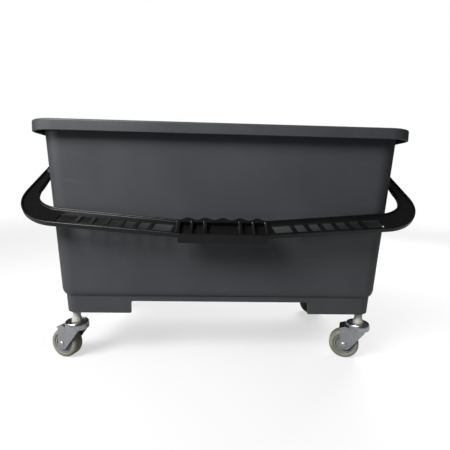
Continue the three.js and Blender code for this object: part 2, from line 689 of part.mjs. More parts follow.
function fork() {
  const floor = CROWN_Z;
  const lip = CASTOR_HEIGHT;
  const crown = solid(
    turned(
      [
        [0, floor],
        [CROWN_RADIUS, floor],
        [CROWN_RADIUS + CROWN_FLARE / 2, floor + CROWN_FLARE],
        [CROWN_RADIUS, lip - CROWN_FLARE],
        [CROWN_RADIUS - CROWN_FLARE / 2, lip],
        [CROWN_RADIUS - FORK_SHEET, lip],
        [CROWN_RADIUS - FORK_SHEET, CROWN_FLOOR_Z],
        [0, CROWN_FLOOR_Z],
      ],
      CROWN_FACETS,
    ),
  );
  // The crown runs on over the wheel as a nose that bends down at its end.
  const bend = CROWN_RADIUS + CROWN_FLARE;
  const nose = plate(
    [
      [0, floor],
      [bend, floor],
      [FORK_OVERHANG, floor - FORK_NOSE_DROP],
      [FORK_OVERHANG, floor - FORK_NOSE_DROP + FORK_SHEET],
      [bend, CROWN_FLOOR_Z],
      [0, CROWN_FLOOR_Z],
    ],
    -FORK_OUTER,
    FORK_OUTER,
  ).rotateX(Math.PI / 2);
  const eye = FORK_EYE_RADIUS;
  const side = rounded(
    [
      [CASTOR_TRAIL - eye, AXLE_Z - eye, eye * FORK_EYE_ROUND_SHARE],
      [CASTOR_TRAIL + eye, AXLE_Z - eye, eye * FORK_EYE_ROUND_SHARE],
      [FORK_OVERHANG - FORK_SHEET, floor - FORK_NOSE_DROP + FORK_SHEET / 2, 0],
      [bend, floor + FORK_SHEET / 2, 0],
      [-CROWN_RADIUS + FORK_OUTER / 2, floor + FORK_SHEET / 2, 0],
      [-CROWN_RADIUS + FORK_OUTER / 2, floor - FORK_SHEET, 0],
    ],
    FILLET_STEPS,
  );
  const legs = [-1, 1].map((hand) => {
    const low = hand > 0 ? FORK_INNER : -FORK_OUTER;
    return solid(plate(side, -low - FORK_SHEET, -low).rotateX(Math.PI / 2));
  });
  const bore = solid(bar(STEM_RADIUS + GAP, floor - OVERRUN, CROWN_FLOOR_Z + OVERRUN, SMALL_FACETS));
  const axleBore = solid(
    bar(AXLE_RADIUS + GAP, -FORK_OUTER - OVERRUN, FORK_OUTER + OVERRUN, SMALL_FACETS)
      .rotateX(Math.PI / 2)
      .translate(CASTOR_TRAIL, 0, AXLE_Z),
  );
  const floorCut = solid(bar(CROWN_RADIUS - FORK_SHEET, CROWN_FLOOR_Z, lip + OVERRUN, CROWN_FACETS));
  return geometryOf(cut(join(crown, solid(nose), ...legs), bore, axleBore, floorCut));
}

// Wheel parts are turned about the axle: the profile's heights run along it.
function alongAxle(geometry) {
  return geometry.rotateZ(Math.PI / WHEEL_FACETS).rotateX(Math.PI / 2);
}

function axle() {
  const seat = FORK_OUTER + GAP;
  const head = seat + AXLE_HEAD_HEIGHT;
  const crown = AXLE_HEAD_RADIUS * AXLE_HEAD_FLAT_SHARE;
  return turned(
    [
      [0, -head],
      [crown, -head],
      [AXLE_HEAD_RADIUS, -seat],
      [AXLE_RADIUS, -seat],
      [AXLE_RADIUS, seat],
      [AXLE_HEAD_RADIUS, seat],
      [crown, head],
      [0, head],
    ],
    SMALL_FACETS,
  ).rotateX(Math.PI / 2);
}

function tyre() {
  const half = TYRE_WIDTH / 2;
  const inner = WHEEL_RADIUS - TYRE_DEPTH;
  const shoulder = TYRE_SHOULDER;
  return alongAxle(
    turnedRing(
      [
        [inner, -half + shoulder / 2],
        [WHEEL_RADIUS - shoulder, -half],
        [WHEEL_RADIUS, -half + shoulder],
        [WHEEL_RADIUS, half - shoulder],
        [WHEEL_RADIUS - shoulder, half],
        [inner, half - shoulder / 2],
      ],
      WHEEL_FACETS,
    ),
  );
}

function core() {
  const half = TYRE_WIDTH / 2 - TYRE_SHOULDER / 2;
  const outer = WHEEL_RADIUS - TYRE_DEPTH - GAP;
  const rim = outer - CORE_RIM_DEPTH;
  const web = half - CORE_RECESS;
  const bore = AXLE_RADIUS + GAP;
  const hub = TYRE_WIDTH / 2;
  return alongAxle(
    turnedRing(
      [
        [bore, -hub],
        [HUB_RADIUS, -web],
        [rim, -web],
        [rim, -half],
        [outer, -half],
        [outer, half],
        [rim, half],
        [rim, web],
        [HUB_RADIUS, web],
        [bore, hub],
      ],
      WHEEL_FACETS,
    ),
  );
}

function mesh(name, geometry, finish) {
  const made = new THREE.Mesh(geometry, finish);
  made.name = name;
  return made;
}

// One castor: what stays still with the tub, and what turns with the fork.
function castor({ name, x, y, turn }) {
  const still = new THREE.Group();
  still.add(
    mesh(`${name}_sleeve`, sleeve(), MATERIALS.sleeve),
    mesh(`${name}_stem`, stem(), MATERIALS.steel),
    mesh(`${name}_swivel_cap`, cap(), MATERIALS.zinc),
  );
  const swivel = new THREE.Group();
  swivel.rotation.z = THREE.MathUtils.degToRad(turn);
  const wheel = new THREE.Group();
  wheel.position.set(CASTOR_TRAIL, 0, AXLE_Z);
  wheel.add(
    mesh(`${name}_tyre`, tyre(), MATERIALS.tyre),
    mesh(`${name}_wheel_core`, core(), MATERIALS.core),
  );
  const rivet = mesh(`${name}_axle`, axle(), MATERIALS.steel);
  rivet.position.copy(wheel.position);
  swivel.add(
    mesh(`${name}_fork`, fork(), MATERIALS.zinc),
    mesh(`${name}_ball_race`, balls(), MATERIALS.steel),
    rivet,
    wheel,
  );
  const whole = new THREE.Group();
  whole.position.set(x * CASTOR_X, y * CASTOR_Y, 0);
  whole.add(still, swivel);
  return whole;
}

const bucket = new THREE.Group();
bucket.add(mesh("tub", tub(), MATERIALS.tub));
const bail = mesh("handle", handle(), MATERIALS.handle);
bail.position.z = PIVOT_Z;
bail.rotation.x = Math.PI + restAngle(ARM_BACK);
bucket.add(bail);
CASTOR_TURNS.forEach((place) => bucket.add(castor(place)));
// The origin lies under the middle of the whole bucket, its hanging handle included.
bucket.position.y = -new THREE.Box3().setFromObject(bucket, true).getCenter(new THREE.Vector3()).y;

export default bucket;
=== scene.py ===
"""A grey mop bucket on four swivel castors, with a swinging handle, dressed around its solids."""

from __future__ import annotations

import logging
import math
from collections.abc import Callable, Iterator, Sequence
from contextlib import contextmanager
from dataclasses import dataclass, field
from enum import Enum
from itertools import pairwise

import bmesh
import bpy
from mathutils import Matrix, Vector


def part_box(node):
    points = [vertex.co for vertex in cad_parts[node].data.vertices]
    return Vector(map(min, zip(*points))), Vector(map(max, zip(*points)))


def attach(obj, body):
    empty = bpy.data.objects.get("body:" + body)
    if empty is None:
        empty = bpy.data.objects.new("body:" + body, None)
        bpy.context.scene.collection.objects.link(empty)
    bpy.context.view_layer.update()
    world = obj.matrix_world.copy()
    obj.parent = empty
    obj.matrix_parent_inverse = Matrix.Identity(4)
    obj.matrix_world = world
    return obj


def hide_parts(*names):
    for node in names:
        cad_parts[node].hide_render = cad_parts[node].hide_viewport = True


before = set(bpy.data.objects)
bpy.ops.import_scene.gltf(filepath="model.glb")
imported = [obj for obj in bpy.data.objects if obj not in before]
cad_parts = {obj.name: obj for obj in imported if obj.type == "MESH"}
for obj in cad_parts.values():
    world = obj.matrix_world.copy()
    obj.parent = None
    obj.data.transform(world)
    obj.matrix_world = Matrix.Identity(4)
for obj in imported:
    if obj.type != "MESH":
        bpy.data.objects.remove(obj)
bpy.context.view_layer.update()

# Running clearance between parts that touch or turn, as in the solids.
GAP = 0.0003
# How far a cutting tool runs past the face that it cuts.
OVERRUN = 0.002
# Vertices that lie closer than this are merged where a profile closes on itself.
WELD = 1e-6
# How far apart two places may lie and still count as one, after solids have worked on each other.
PLACE_SLACK = 1e-5
# The handle's edges are rounded where its faces turn by more than this many degrees.
BEVEL_ANGLE = 38.0
# Up to this many degrees between their faces, the tub and handle are shaded smooth.
SMOOTH_ANGLE = 32.0
# Turns a piece from the Z axis onto the X axis.
ONTO_X = Matrix.Rotation(math.pi / 2, 4, "Y")
# How far apart the rings of a shell stand while they are bridged.
RING_SPACING = 0.1

WHITE = (1.0, 1.0, 1.0)

Colour = tuple[float, float, float]
Corner = tuple[float, float, float]
Point = tuple[float, float]

log = logging.getLogger("mop_bucket")


class Plane(Enum):
    """The way that a traced outline lies."""

    LEVEL = "across X and Y"
    FRONT = "across X and Z"
    END = "across Y and Z"

    def lay(self, across: float, along: float, off: float) -> Vector:
        """Puts a point of a flat outline in space.

        Args:
            across: The outline's first coordinate.
            along: The outline's second coordinate.
            off: How far the outline stands off the origin along its own normal.

        Returns:
            The point in space.
        """
        places = {
            Plane.LEVEL: (across, along, off),
            Plane.FRONT: (across, off, along),
            Plane.END: (off, across, along),
        }
        return Vector(places[self])


class Join(Enum):
    """How one solid works on another."""

    UNION = "UNION"
    CUT = "DIFFERENCE"


class Slot(Enum):
    """The record's material slots that the pieces take their finish from."""

    TUB = "bucket_plastic"
    HANDLE = "handle_plastic"
    SLEEVE = "sleeve_nylon"
    STEEL = "bright_steel"
    ZINC = "zinc"
    TREAD = "tread"
    CORE = "wheel_core"


def rounded(corners: Sequence[Corner], steps: int) -> list[Point]:
    """Rounds the corners of a flat outline.

    Args:
        corners: The corners as (x, y, radius), in order round the outline.
        steps: How many straight steps stand for each rounded corner.

    Returns:
        The outline's points.
    """
    points: list[Point] = []
    for number, (x, y, radius) in enumerate(corners):
        if radius <= 0:
            points.append((x, y))
            continue
        corner = Vector((x, y))
        back = (Vector(corners[number - 1][:2]) - corner).normalized()
        ahead = (Vector(corners[(number + 1) % len(corners)][:2]) - corner).normalized()
        half = math.acos(max(-1.0, min(1.0, back.dot(ahead)))) / 2
        reach = radius / math.tan(half)
        centre = corner + (back + ahead).normalized() * radius / math.sin(half)
        start = corner + back * reach - centre
        end = corner + ahead * reach - centre
        turn = math.atan2(start.x * end.y - start.y * end.x, start.dot(end))
        for step in range(steps + 1):
            spoke = start.copy()
            spoke.rotate(Matrix.Rotation(turn * step / steps, 2))
            points.append((centre.x + spoke.x, centre.y + spoke.y))
    return points


def quarter_turn(steps: int) -> list[Point]:
    """Divides a quarter turn into equal steps.

    Args:
        steps: How many steps there are.

    Returns:
        The cosine and sine of each step's angle, from none to a quarter turn.
    """
    angles = [math.pi / 2 * step / steps for step in range(steps + 1)]
    return [(math.cos(angle), math.sin(angle)) for angle in angles]


def turned_over(points: Sequence[tuple[float, ...]]) -> list[tuple[float, ...]]:
    """Turns a profile over, so that it goes on from its own end.

    Args:
        points: The profile's points or corners, which start with (radius, height).

    Returns:
        The same in reverse order, with their heights turned over.
    """
    return [(radius, -height, *rest) for radius, height, *rest in reversed(points)]


@dataclass(frozen=True)
class Level:
    """One rounded rectangle in a stack of them."""

    half_x: float
    half_y: float
    z: float
    radius: float


class Workpiece:
    """A mesh that is shaped with the modelling operators, as by hand."""

    def __init__(self, thing: bpy.types.Object, name: str) -> None:
        """Takes up an object under a new name.

        Args:
            thing: The object.
            name: Its new name.
        """
        self.thing = thing
        thing.name = name
        thing.data.name = name

    @classmethod
    def _started(cls, name: str) -> "Workpiece":
        """Starts a mesh with nothing in it yet.

        Args:
            name: The piece's name.

        Returns:
            The empty piece.
        """
        bpy.ops.object.select_all(action="DESELECT")
        bpy.ops.mesh.primitive_plane_add(size=1.0, location=(0.0, 0.0, 0.0))
        piece = cls(bpy.context.object, name)
        with piece.editing():
            bpy.ops.mesh.delete(type="VERT")
        return piece

    @classmethod
    def block(cls, name: str, low: Sequence[float], high: Sequence[float]) -> "Workpiece":
        """Makes a block between two corners.

        Args:
            name: The piece's name.
            low: The lowest corner.
            high: The highest corner.

        Returns:
            The block.
        """
        middle = [(a + b) / 2 for a, b in zip(low, high)]
        bpy.ops.object.select_all(action="DESELECT")
        bpy.ops.mesh.primitive_cube_add(size=1.0, location=middle)
        piece = cls(bpy.context.object, name)
        piece.thing.scale = [b - a for a, b in zip(low, high)]
        return piece.settled()

    @classmethod
    def traced(cls, name: str, path: Sequence[Vector]) -> "Workpiece":
        """Traces a wire by extruding one vertex from point to point.

        Args:
            name: The piece's name.
            path: The wire's points in order.

        Returns:
            The wire.
        """
        piece = cls._started(name)
        with piece.editing():
            bpy.ops.mesh.primitive_plane_add(size=1.0, location=path[0])
            bpy.ops.mesh.merge(type="CENTER")
            for start, end in pairwise(path):
                bpy.ops.mesh.extrude_vertices_move(TRANSFORM_OT_translate={"value": end - start})
        return piece

    @classmethod
    def prism(
        cls, name: str, outline: Sequence[Point], plane: Plane, low: float, high: float
    ) -> "Workpiece":
        """Makes a straight prism from a flat outline.

        Args:
            name: The piece's name.
            outline: The outline's points in order.
            plane: The way that the outline lies.
            low: Where the prism starts along the outline's normal.
            high: Where it ends.

        Returns:
            The prism.
        """
        piece = cls.traced(name, [plane.lay(a, b, low) for a, b in outline])
        with piece.editing():
            bpy.ops.mesh.select_all(action="SELECT")
            bpy.ops.mesh.edge_face_add()
            lift = plane.lay(0.0, 0.0, high - low)
            bpy.ops.mesh.extrude_region_move(TRANSFORM_OT_translate={"value": lift})
            piece.set_normals()
        return piece

    @classmethod
    def spun(cls, name: str, profile: Sequence[Point], steps: int, closed: bool) -> "Workpiece":
        """Turns a profile of (radius, height) points about the Z axis.

        Args:
            name: The piece's name.
            profile: The profile's points in order.
            steps: How many steps the full turn takes.
            closed: Whether the profile closes on itself. Otherwise it starts and ends on the axis.

        Returns:
            The turned piece.
        """
        points = [*profile, profile[0]] if closed else list(profile)
        piece = cls.traced(name, [Plane.FRONT.lay(r, z, 0.0) for r, z in points])
        with piece.editing():
            bpy.ops.mesh.select_all(action="SELECT")
            bpy.ops.mesh.spin(
                steps=steps, angle=math.tau, center=(0.0, 0.0, 0.0), axis=(0.0, 0.0, 1.0)
            )
            bpy.ops.mesh.select_all(action="SELECT")
            bpy.ops.mesh.remove_doubles(threshold=WELD)
            piece.set_normals()
        return piece

    @classmethod
    def rod(
        cls, name: str, radius: float, low: float, high: float, steps: int, taper: float = 0.0
    ) -> "Workpiece":
        """Turns a rod on the Z axis, which may be tapered or flared at both ends.

        Args:
            name: The piece's name.
            radius: The rod's radius.
            low: The height of its lower end.
            high: The height of its upper end.
            steps: How many steps the full turn takes.
            taper: How far the ends are drawn in, over the same length. Below 0 they are flared.

        Returns:
            The rod.
        """
        profile = [(0.0, low), (radius - taper, low)]
        if taper:
            profile += [(radius, low + abs(taper)), (radius, high - abs(taper))]
        profile += [(radius - taper, high), (0.0, high)]
        return cls.spun(name, profile, steps, closed=False)

    @classmethod
    def lofted(cls, name: str, levels: Sequence[Level], middle_y: float, steps: int) -> "Workpiece":
        """Bridges a stack of rounded rectangles into a closed shell.

        Args:
            name: The piece's name.
            levels: The rectangles in order. The first and the last are filled in.
            middle_y: Where the middle of each rectangle lies.
            steps: How many straight steps stand for each rounded corner.

        Returns:
            The shell.
        """
        piece = cls._started(name)
        with piece.editing():
            for number, level in enumerate(levels):
                place = (0.0, middle_y, number * RING_SPACING)
                bpy.ops.mesh.select_all(action="DESELECT")
                bpy.ops.mesh.primitive_plane_add(size=1.0, location=place)
                size = (2 * level.half_x, 2 * level.half_y, 1.0)
                bpy.ops.transform.resize(value=size, center_override=place)
                bpy.ops.mesh.bevel(
                    offset=level.radius, offset_type="OFFSET", segments=steps, affect="VERTICES"
                )
                piece.number_selected(number)
                bpy.ops.mesh.delete(type="ONLY_FACE")
            for number in range(len(levels) - 1):
                piece.choose_numbered(number, number + 1)
                bpy.ops.mesh.bridge_edge_loops()
            for number in (0, len(levels) - 1):
                piece.choose_numbered(number)
                bpy.ops.mesh.edge_face_add()
            for number, level in enumerate(levels):
                piece.choose_numbered(number)
                lift = level.z - number * RING_SPACING
                bpy.ops.transform.translate(value=(0.0, 0.0, lift))
            piece.set_normals()
        piece.thing.data.attributes.remove(piece.thing.data.attributes["level"])
        return piece

    @contextmanager
    def editing(self) -> Iterator[None]:
        """Holds the mesh in edit mode.

        Yields:
            Nothing, while the mesh is open.
        """
        self.take_up()
        bpy.ops.object.mode_set(mode="EDIT")
        bpy.ops.mesh.select_mode(type="VERT")
        try:
            yield
        finally:
            bpy.ops.object.mode_set(mode="OBJECT")

    def take_up(self) -> None:
        """Selects this object alone and makes it the active one."""
        bpy.ops.object.select_all(action="DESELECT")
        self.thing.select_set(True)
        bpy.context.view_layer.objects.active = self.thing

    def number_selected(self, number: int) -> None:
        """Numbers the selected vertices, so that they can be chosen again.

        Args:
            number: The number that they get.
        """
        mesh = bmesh.from_edit_mesh(self.thing.data)
        layer = mesh.verts.layers.int.get("level") or mesh.verts.layers.int.new("level")
        for vertex in mesh.verts:
            if vertex.select:
                vertex[layer] = number + 1

    def choose_numbered(self, *numbers: int) -> None:
        """Selects the vertices with these numbers, and the edges between them.

        Args:
            numbers: The numbers that were given to them.
        """
        mesh = bmesh.from_edit_mesh(self.thing.data)
        layer = mesh.verts.layers.int["level"]
        for vertex in mesh.verts:
            vertex.select_set(vertex[layer] - 1 in numbers)
        mesh.select_flush_mode()
        bmesh.update_edit_mesh(self.thing.data)

    def choose_edges(self, wanted: Callable[[bmesh.types.BMEdge], bool]) -> None:
        """Selects the edges that pass a test, in edit mode.

        Args:
            wanted: The test.
        """
        bpy.ops.mesh.select_mode(type="EDGE")
        bpy.ops.mesh.select_all(action="DESELECT")
        mesh = bmesh.from_edit_mesh(self.thing.data)
        for edge in mesh.edges:
            edge.select_set(wanted(edge))
        bmesh.update_edit_mesh(self.thing.data)

    def set_normals(self) -> None:
        """Turns all faces outwards, in edit mode."""
        bpy.ops.mesh.select_all(action="SELECT")
        bpy.ops.mesh.normals_make_consistent(inside=False)

    def settled(self) -> "Workpiece":
        """Puts the object's place, turn and scale into its mesh.

        Returns:
            The piece itself.
        """
        self.take_up()
        bpy.ops.object.transform_apply(location=True, rotation=True, scale=True)
        return self

    def moved(self, matrix: Matrix) -> "Workpiece":
        """Moves the mesh, and leaves the object at the origin.

        Args:
            matrix: The move.

        Returns:
            The piece itself.
        """
        self.thing.matrix_world = matrix
        bpy.context.view_layer.update()
        return self.settled()

    def copied(self, name: str) -> "Workpiece":
        """Copies the piece, mesh and all.

        Args:
            name: The copy's name.

        Returns:
            The copy.
        """
        self.take_up()
        bpy.ops.object.duplicate(linked=False)
        return Workpiece(bpy.context.object, name)

    def mirrored(self, name: str) -> "Workpiece":
        """Copies the piece to the other side of X.

        Args:
            name: The copy's name.

        Returns:
            The mirrored copy.
        """
        other = self.copied(name)
        other.moved(Matrix.Diagonal((-1.0, 1.0, 1.0, 1.0)))
        with other.editing():
            bpy.ops.mesh.select_all(action="SELECT")
            bpy.ops.mesh.remove_doubles(threshold=WELD)
            other.set_normals()
        return other

    def worked(self, way: Join, *tools: "Workpiece") -> "Workpiece":
        """Adds or cuts away other solids, which are used up.

        Args:
            way: Whether they are added or cut away.
            tools: The other solids.

        Returns:
            The piece itself.
        """
        for tool in tools:
            self.take_up()
            modifier = self.thing.modifiers.new("work", "BOOLEAN")
            modifier.operation = way.value
            modifier.solver = "EXACT"
            modifier.object = tool.thing
            bpy.ops.object.modifier_apply(modifier=modifier.name)
            bpy.data.objects.remove(tool.thing)
        return self

    def softened(self, width: float, segments: int, angle: float) -> "Workpiece":
        """Rounds every edge that is sharper than an angle.

        Args:
            width: The rounding's width.
            segments: How many faces stand for it.
            angle: The smallest angle between faces that is rounded, in degrees.

        Returns:
            The piece itself.
        """
        self.take_up()
        modifier = self.thing.modifiers.new("soften", "BEVEL")
        modifier.width = width
        modifier.segments = segments
        modifier.limit_method = "ANGLE"
        modifier.angle_limit = math.radians(angle)
        modifier.use_clamp_overlap = True
        modifier.miter_outer = "MITER_ARC"
        bpy.ops.object.modifier_apply(modifier=modifier.name)
        return self

    def cleaned(self) -> "Workpiece":
        """Merges doubled vertices and dissolves faces and edges of no size.

        Returns:
            The piece itself.
        """
        with self.editing():
            bpy.ops.mesh.select_all(action="SELECT")
            bpy.ops.mesh.remove_doubles(threshold=PLACE_SLACK)
            bpy.ops.mesh.dissolve_degenerate(threshold=PLACE_SLACK)
            self.set_normals()
        return self

    def shaded(self, angle: float) -> "Workpiece":
        """Shades the piece smooth, weighted by the size of its faces.

        Args:
            angle: The largest angle between faces that is shaded smooth, in degrees.

        Returns:
            The piece itself.
        """
        self.take_up()
        bpy.ops.object.shade_smooth_by_angle(angle=math.radians(angle))
        modifier = self.thing.modifiers.new("even shading", "WEIGHTED_NORMAL")
        modifier.mode = "FACE_AREA"
        modifier.keep_sharp = True
        bpy.ops.object.modifier_apply(modifier=modifier.name)
        return self


@dataclass(frozen=True)
class Pattern:
    """Cloudy noise over a surface, which a band narrows to the marks where it runs high."""

    scale: float
    detail: float = 2.0
    stretch: Corner = (1.0, 1.0, 1.0)
    band: tuple[float, float] | None = None


class Value:
    """A socket of a shader that can be used in sums."""

    def __init__(self, shader: "Shader", socket: bpy.types.NodeSocket) -> None:
        """Wraps one output socket."""
        self.shader = shader
        self.socket = socket

    def _sum(self, operation: str, left: object, right: object) -> "Value":
        """Adds one Math node.

        Args:
            operation: The Math node's operation.
            left: The first number or value.
            right: The second number or value.

        Returns:
            The node's result.
        """
        settings = {"operation": operation}
        return self.shader.node("ShaderNodeMath", settings, {0: left, 1: right})

    def __add__(self, other: object) -> "Value":
        """Returns this plus another."""
        return self._sum("ADD", self, other)

    def __radd__(self, other: object) -> "Value":
        """Returns another plus this."""
        return self._sum("ADD", other, self)

    def __sub__(self, other: object) -> "Value":
        """Returns this less another."""
        return self._sum("SUBTRACT", self, other)

    def __rsub__(self, other: object) -> "Value":
        """Returns another less this."""
        return self._sum("SUBTRACT", other, self)

    def __mul__(self, other: object) -> "Value":
        """Returns this times another."""
        return self._sum("MULTIPLY", self, other)

    def __rmul__(self, other: object) -> "Value":
        """Returns another times this."""
        return self._sum("MULTIPLY", other, self)

    def between(self, low: float, high: float) -> "Value":
        """Narrows this to a smooth step.

        Args:
            low: Where the step starts.
            high: Where it ends.

        Returns:
            A smooth 0 to 1 as this goes from low to high.
        """
        settings = {"interpolation_type": "SMOOTHSTEP"}
        inputs = {"Value": self, "From Min": low, "From Max": high}
        return self.shader.node("ShaderNodeMapRange", settings, inputs)


class Shader:
    """The node tree of a material or a world under construction."""

    def __init__(self, owner: bpy.types.Material | bpy.types.World) -> None:
        """Empties the node tree of a material or a world.

        Args:
            owner: The material or world.
        """
        owner.use_nodes = True
        self.owner = owner
        self.tree = owner.node_tree
        self.tree.nodes.clear()

    @classmethod
    def material(cls, name: str) -> "Shader":
        """Starts a new material."""
        return cls(bpy.data.materials.new(name))

    def node(
        self,
        kind: str,
        settings: dict[str, object] | None = None,
        inputs: dict[str | int, object] | None = None,
        output: str | int = 0,
    ) -> Value:
        """Adds a node.

        Args:
            kind: The node's type.
            settings: Its settings by name, which are set before its sockets.
            inputs: Its sockets' values or links, by name or number.
            output: The output that is wanted, by name or number.

        Returns:
            That output.
        """
        made = self.tree.nodes.new(kind)
        for name, value in (settings or {}).items():
            setattr(made, name, value)
        for name, value in (inputs or {}).items():
            socket = made.inputs[name]
            if isinstance(value, Value):
                self.tree.links.new(value.socket, socket)
            elif socket.type == "RGBA":
                socket.default_value = (*value, 1.0)
            else:
                socket.default_value = value
        return Value(self, made.outputs[output])

    def place(self, stretch: Corner = (1.0, 1.0, 1.0)) -> Value:
        """Returns the place on the object, stretched along its axes."""
        spot = self.node("ShaderNodeTexCoord", output="Object")
        return self.node("ShaderNodeMapping", {}, {"Vector": spot, "Scale": stretch})

    def noise(self, pattern: Pattern) -> Value:
        """Adds cloudy noise.

        Args:
            pattern: The noise's clouds in a metre, finer detail, density along each axis and band.

        Returns:
            The noise about 0.5, or a smooth 0 to 1 across the band if there is one.
        """
        inputs = {
            "Vector": self.place(pattern.stretch),
            "Scale": pattern.scale,
            "Detail": pattern.detail,
        }
        noise = self.node("ShaderNodeTexNoise", {}, inputs, "Fac")
        return noise.between(*pattern.band) if pattern.band else noise

    def cells(self, scale: float) -> Value:
        """Adds a net of random cells.

        Args:
            scale: How many cells there are in a metre.

        Returns:
            A random number for each cell.
        """
        inputs = {"Vector": self.place(), "Scale": scale}
        colour = self.node("ShaderNodeTexVoronoi", {"feature": "F1"}, inputs, "Color")
        return self.node("ShaderNodeSeparateColor", {}, {"Color": colour}, "Red")

    def edge_wear_and_highlight(self, radius: float) -> Value:
        """Finds the edges that wear and a painted highlight pale.

        Args:
            radius: How far from an edge the wear and the painted highlight reach.

        Returns:
            0 on flat faces, rising towards 1 where the surface turns within the radius.
        """
        soft = self.node("ShaderNodeBevel", {"samples": 4}, {"Radius": radius})
        hard = self.node("ShaderNodeNewGeometry", output="Normal")
        settings = {"operation": "DOT_PRODUCT"}
        alike = self.node("ShaderNodeVectorMath", settings, {0: soft, 1: hard}, "Value")
        return 1.0 - alike

    def mixed(self, share: object, first: object, second: object) -> Value:
        """Mixes one colour into another.

        Args:
            share: How much of the second colour there is.
            first: The first colour, or a colour's value.
            second: The second colour, or a colour's value.

        Returns:
            The mixed colour.
        """
        inputs = {0: share, 6: first, 7: second}
        return self.node("ShaderNodeMix", {"data_type": "RGBA"}, inputs, 2)

    def finished(self, inputs: dict[str, object], bump: Value, depth: float) -> bpy.types.Material:
        """Closes the material with its surface shader.

        Args:
            inputs: The surface shader's values and links.
            bump: The height that raises the surface, from 0 to 1.
            depth: How high 1 stands, in metres.

        Returns:
            The material.
        """
        relief = {"Height": bump, "Distance": depth, "Strength": 1.0}
        normal = self.node("ShaderNodeBump", {}, relief)
        inputs = {**inputs, "Normal": normal}
        return self.closed(self.node("ShaderNodeBsdfPrincipled", {}, inputs))

    def closed(
        self, surface: Value, kind: str = "ShaderNodeOutputMaterial"
    ) -> bpy.types.Material | bpy.types.World:
        """Wires a surface to the output.

        Args:
            surface: The surface.
            kind: The output node's type.

        Returns:
            The material or world.
        """
        out = self.tree.nodes.new(kind)
        self.tree.links.new(surface.socket, out.inputs["Surface"])
        return self.owner


def srgb(red: int, green: int, blue: int) -> Colour:
    """Turns a screen colour into linear light.

    Args:
        red: Its red, from 0 to 255.
        green: Its green.
        blue: Its blue.

    Returns:
        The linear colour.
    """
    return tuple(
        c / 12.92 if c <= 0.04045 else ((c + 0.055) / 1.055) ** 2.4
        for c in (red / 255, green / 255, blue / 255)
    )


@dataclass(frozen=True)
class MouldedPlastic:
    """Plastic from a finely sparked mould, with faint flow marks, scuffs, and pale edges that are
    partly wear and partly a painted highlight.
    """

    name: str
    colour: Colour
    pale: Colour
    # The paler colour of the scuffs, and of the edges, whose paling is partly wear and partly a
    # painted highlight.
    worn_and_highlight: Colour
    roughness: float = 0.42
    specular: float = 0.5
    clouds: Pattern = Pattern(11.0, 4.0)
    flow: Pattern = Pattern(34.0, 3.0, (1.0, 1.0, 0.12))
    speckle: Pattern = Pattern(420.0)
    grain: Pattern = Pattern(1500.0)
    scuffs: Pattern = Pattern(55.0, 5.0, (0.5, 1.0, 2.4), (0.64, 0.74))
    scratches: Pattern = Pattern(160.0, 2.0, (0.12, 0.12, 1.0), (0.70, 0.73))
    pale_band: tuple[float, float] = (0.25, 0.75)
    # The band and breaks of the edges' paling, which is partly wear and partly a painted highlight.
    wear_and_highlight_band: tuple[float, float] = (0.02, 0.3)
    wear_and_highlight_breaks: tuple[float, float] = (0.35, 0.6)
    # How much each pattern tells in the colour, the roughness and the relief.
    cloud_tone: float = 0.55
    flow_tone: float = 0.25
    speckle_tone: float = 0.2
    cloud_roughness: float = 0.1
    scuff_roughness: float = 0.1
    speckle_roughness: float = 0.06
    grain_relief: float = 0.6
    speckle_relief: float = 0.25
    scratch_relief: float = -0.15
    mark_share: float = 0.4
    scuff_share: float = 0.5
    # The edges' paling is partly wear and partly a painted highlight.
    wear_and_highlight_share: float = 0.5
    wear_and_highlight_radius: float = 0.0012
    grain_depth: float = 0.00004

    def made(self) -> bpy.types.Material:
        """Makes the material.

        Returns:
            The material.
        """
        shader = Shader.material(self.name)
        clouds = shader.noise(self.clouds)
        flow = shader.noise(self.flow)
        speckle = shader.noise(self.speckle)
        grain = shader.noise(self.grain)
        scuffs = shader.noise(self.scuffs)
        scratches = shader.noise(self.scratches)
        tone = (
            clouds * self.cloud_tone + flow * self.flow_tone + speckle * self.speckle_tone
        ).between(*self.pale_band)
        body = shader.mixed(tone, self.colour, self.pale)
        marks = (scuffs * self.mark_share + scratches * self.mark_share) * self.scuff_share
        marked = shader.mixed(marks, body, self.worn_and_highlight)
        # Pales the edges all round: partly rubbed wear, partly a painted highlight along them.
        edges = shader.edge_wear_and_highlight(self.wear_and_highlight_radius).between(*self.wear_and_highlight_band)
        wear_and_highlight = edges * speckle.between(*self.wear_and_highlight_breaks)
        inputs = {
            "Base Color": shader.mixed(wear_and_highlight * self.wear_and_highlight_share, marked, self.worn_and_highlight),
            "Roughness": (
                self.roughness
                + (clouds - 0.5) * self.cloud_roughness
                + scuffs * self.scuff_roughness
                + speckle * self.speckle_roughness
            ),
            "Specular IOR Level": self.specular,
        }
        relief = (
            grain * self.grain_relief
            + speckle * self.speckle_relief
            + scratches * self.scratch_relief
        )
        return shader.finished(inputs, relief, self.grain_depth)


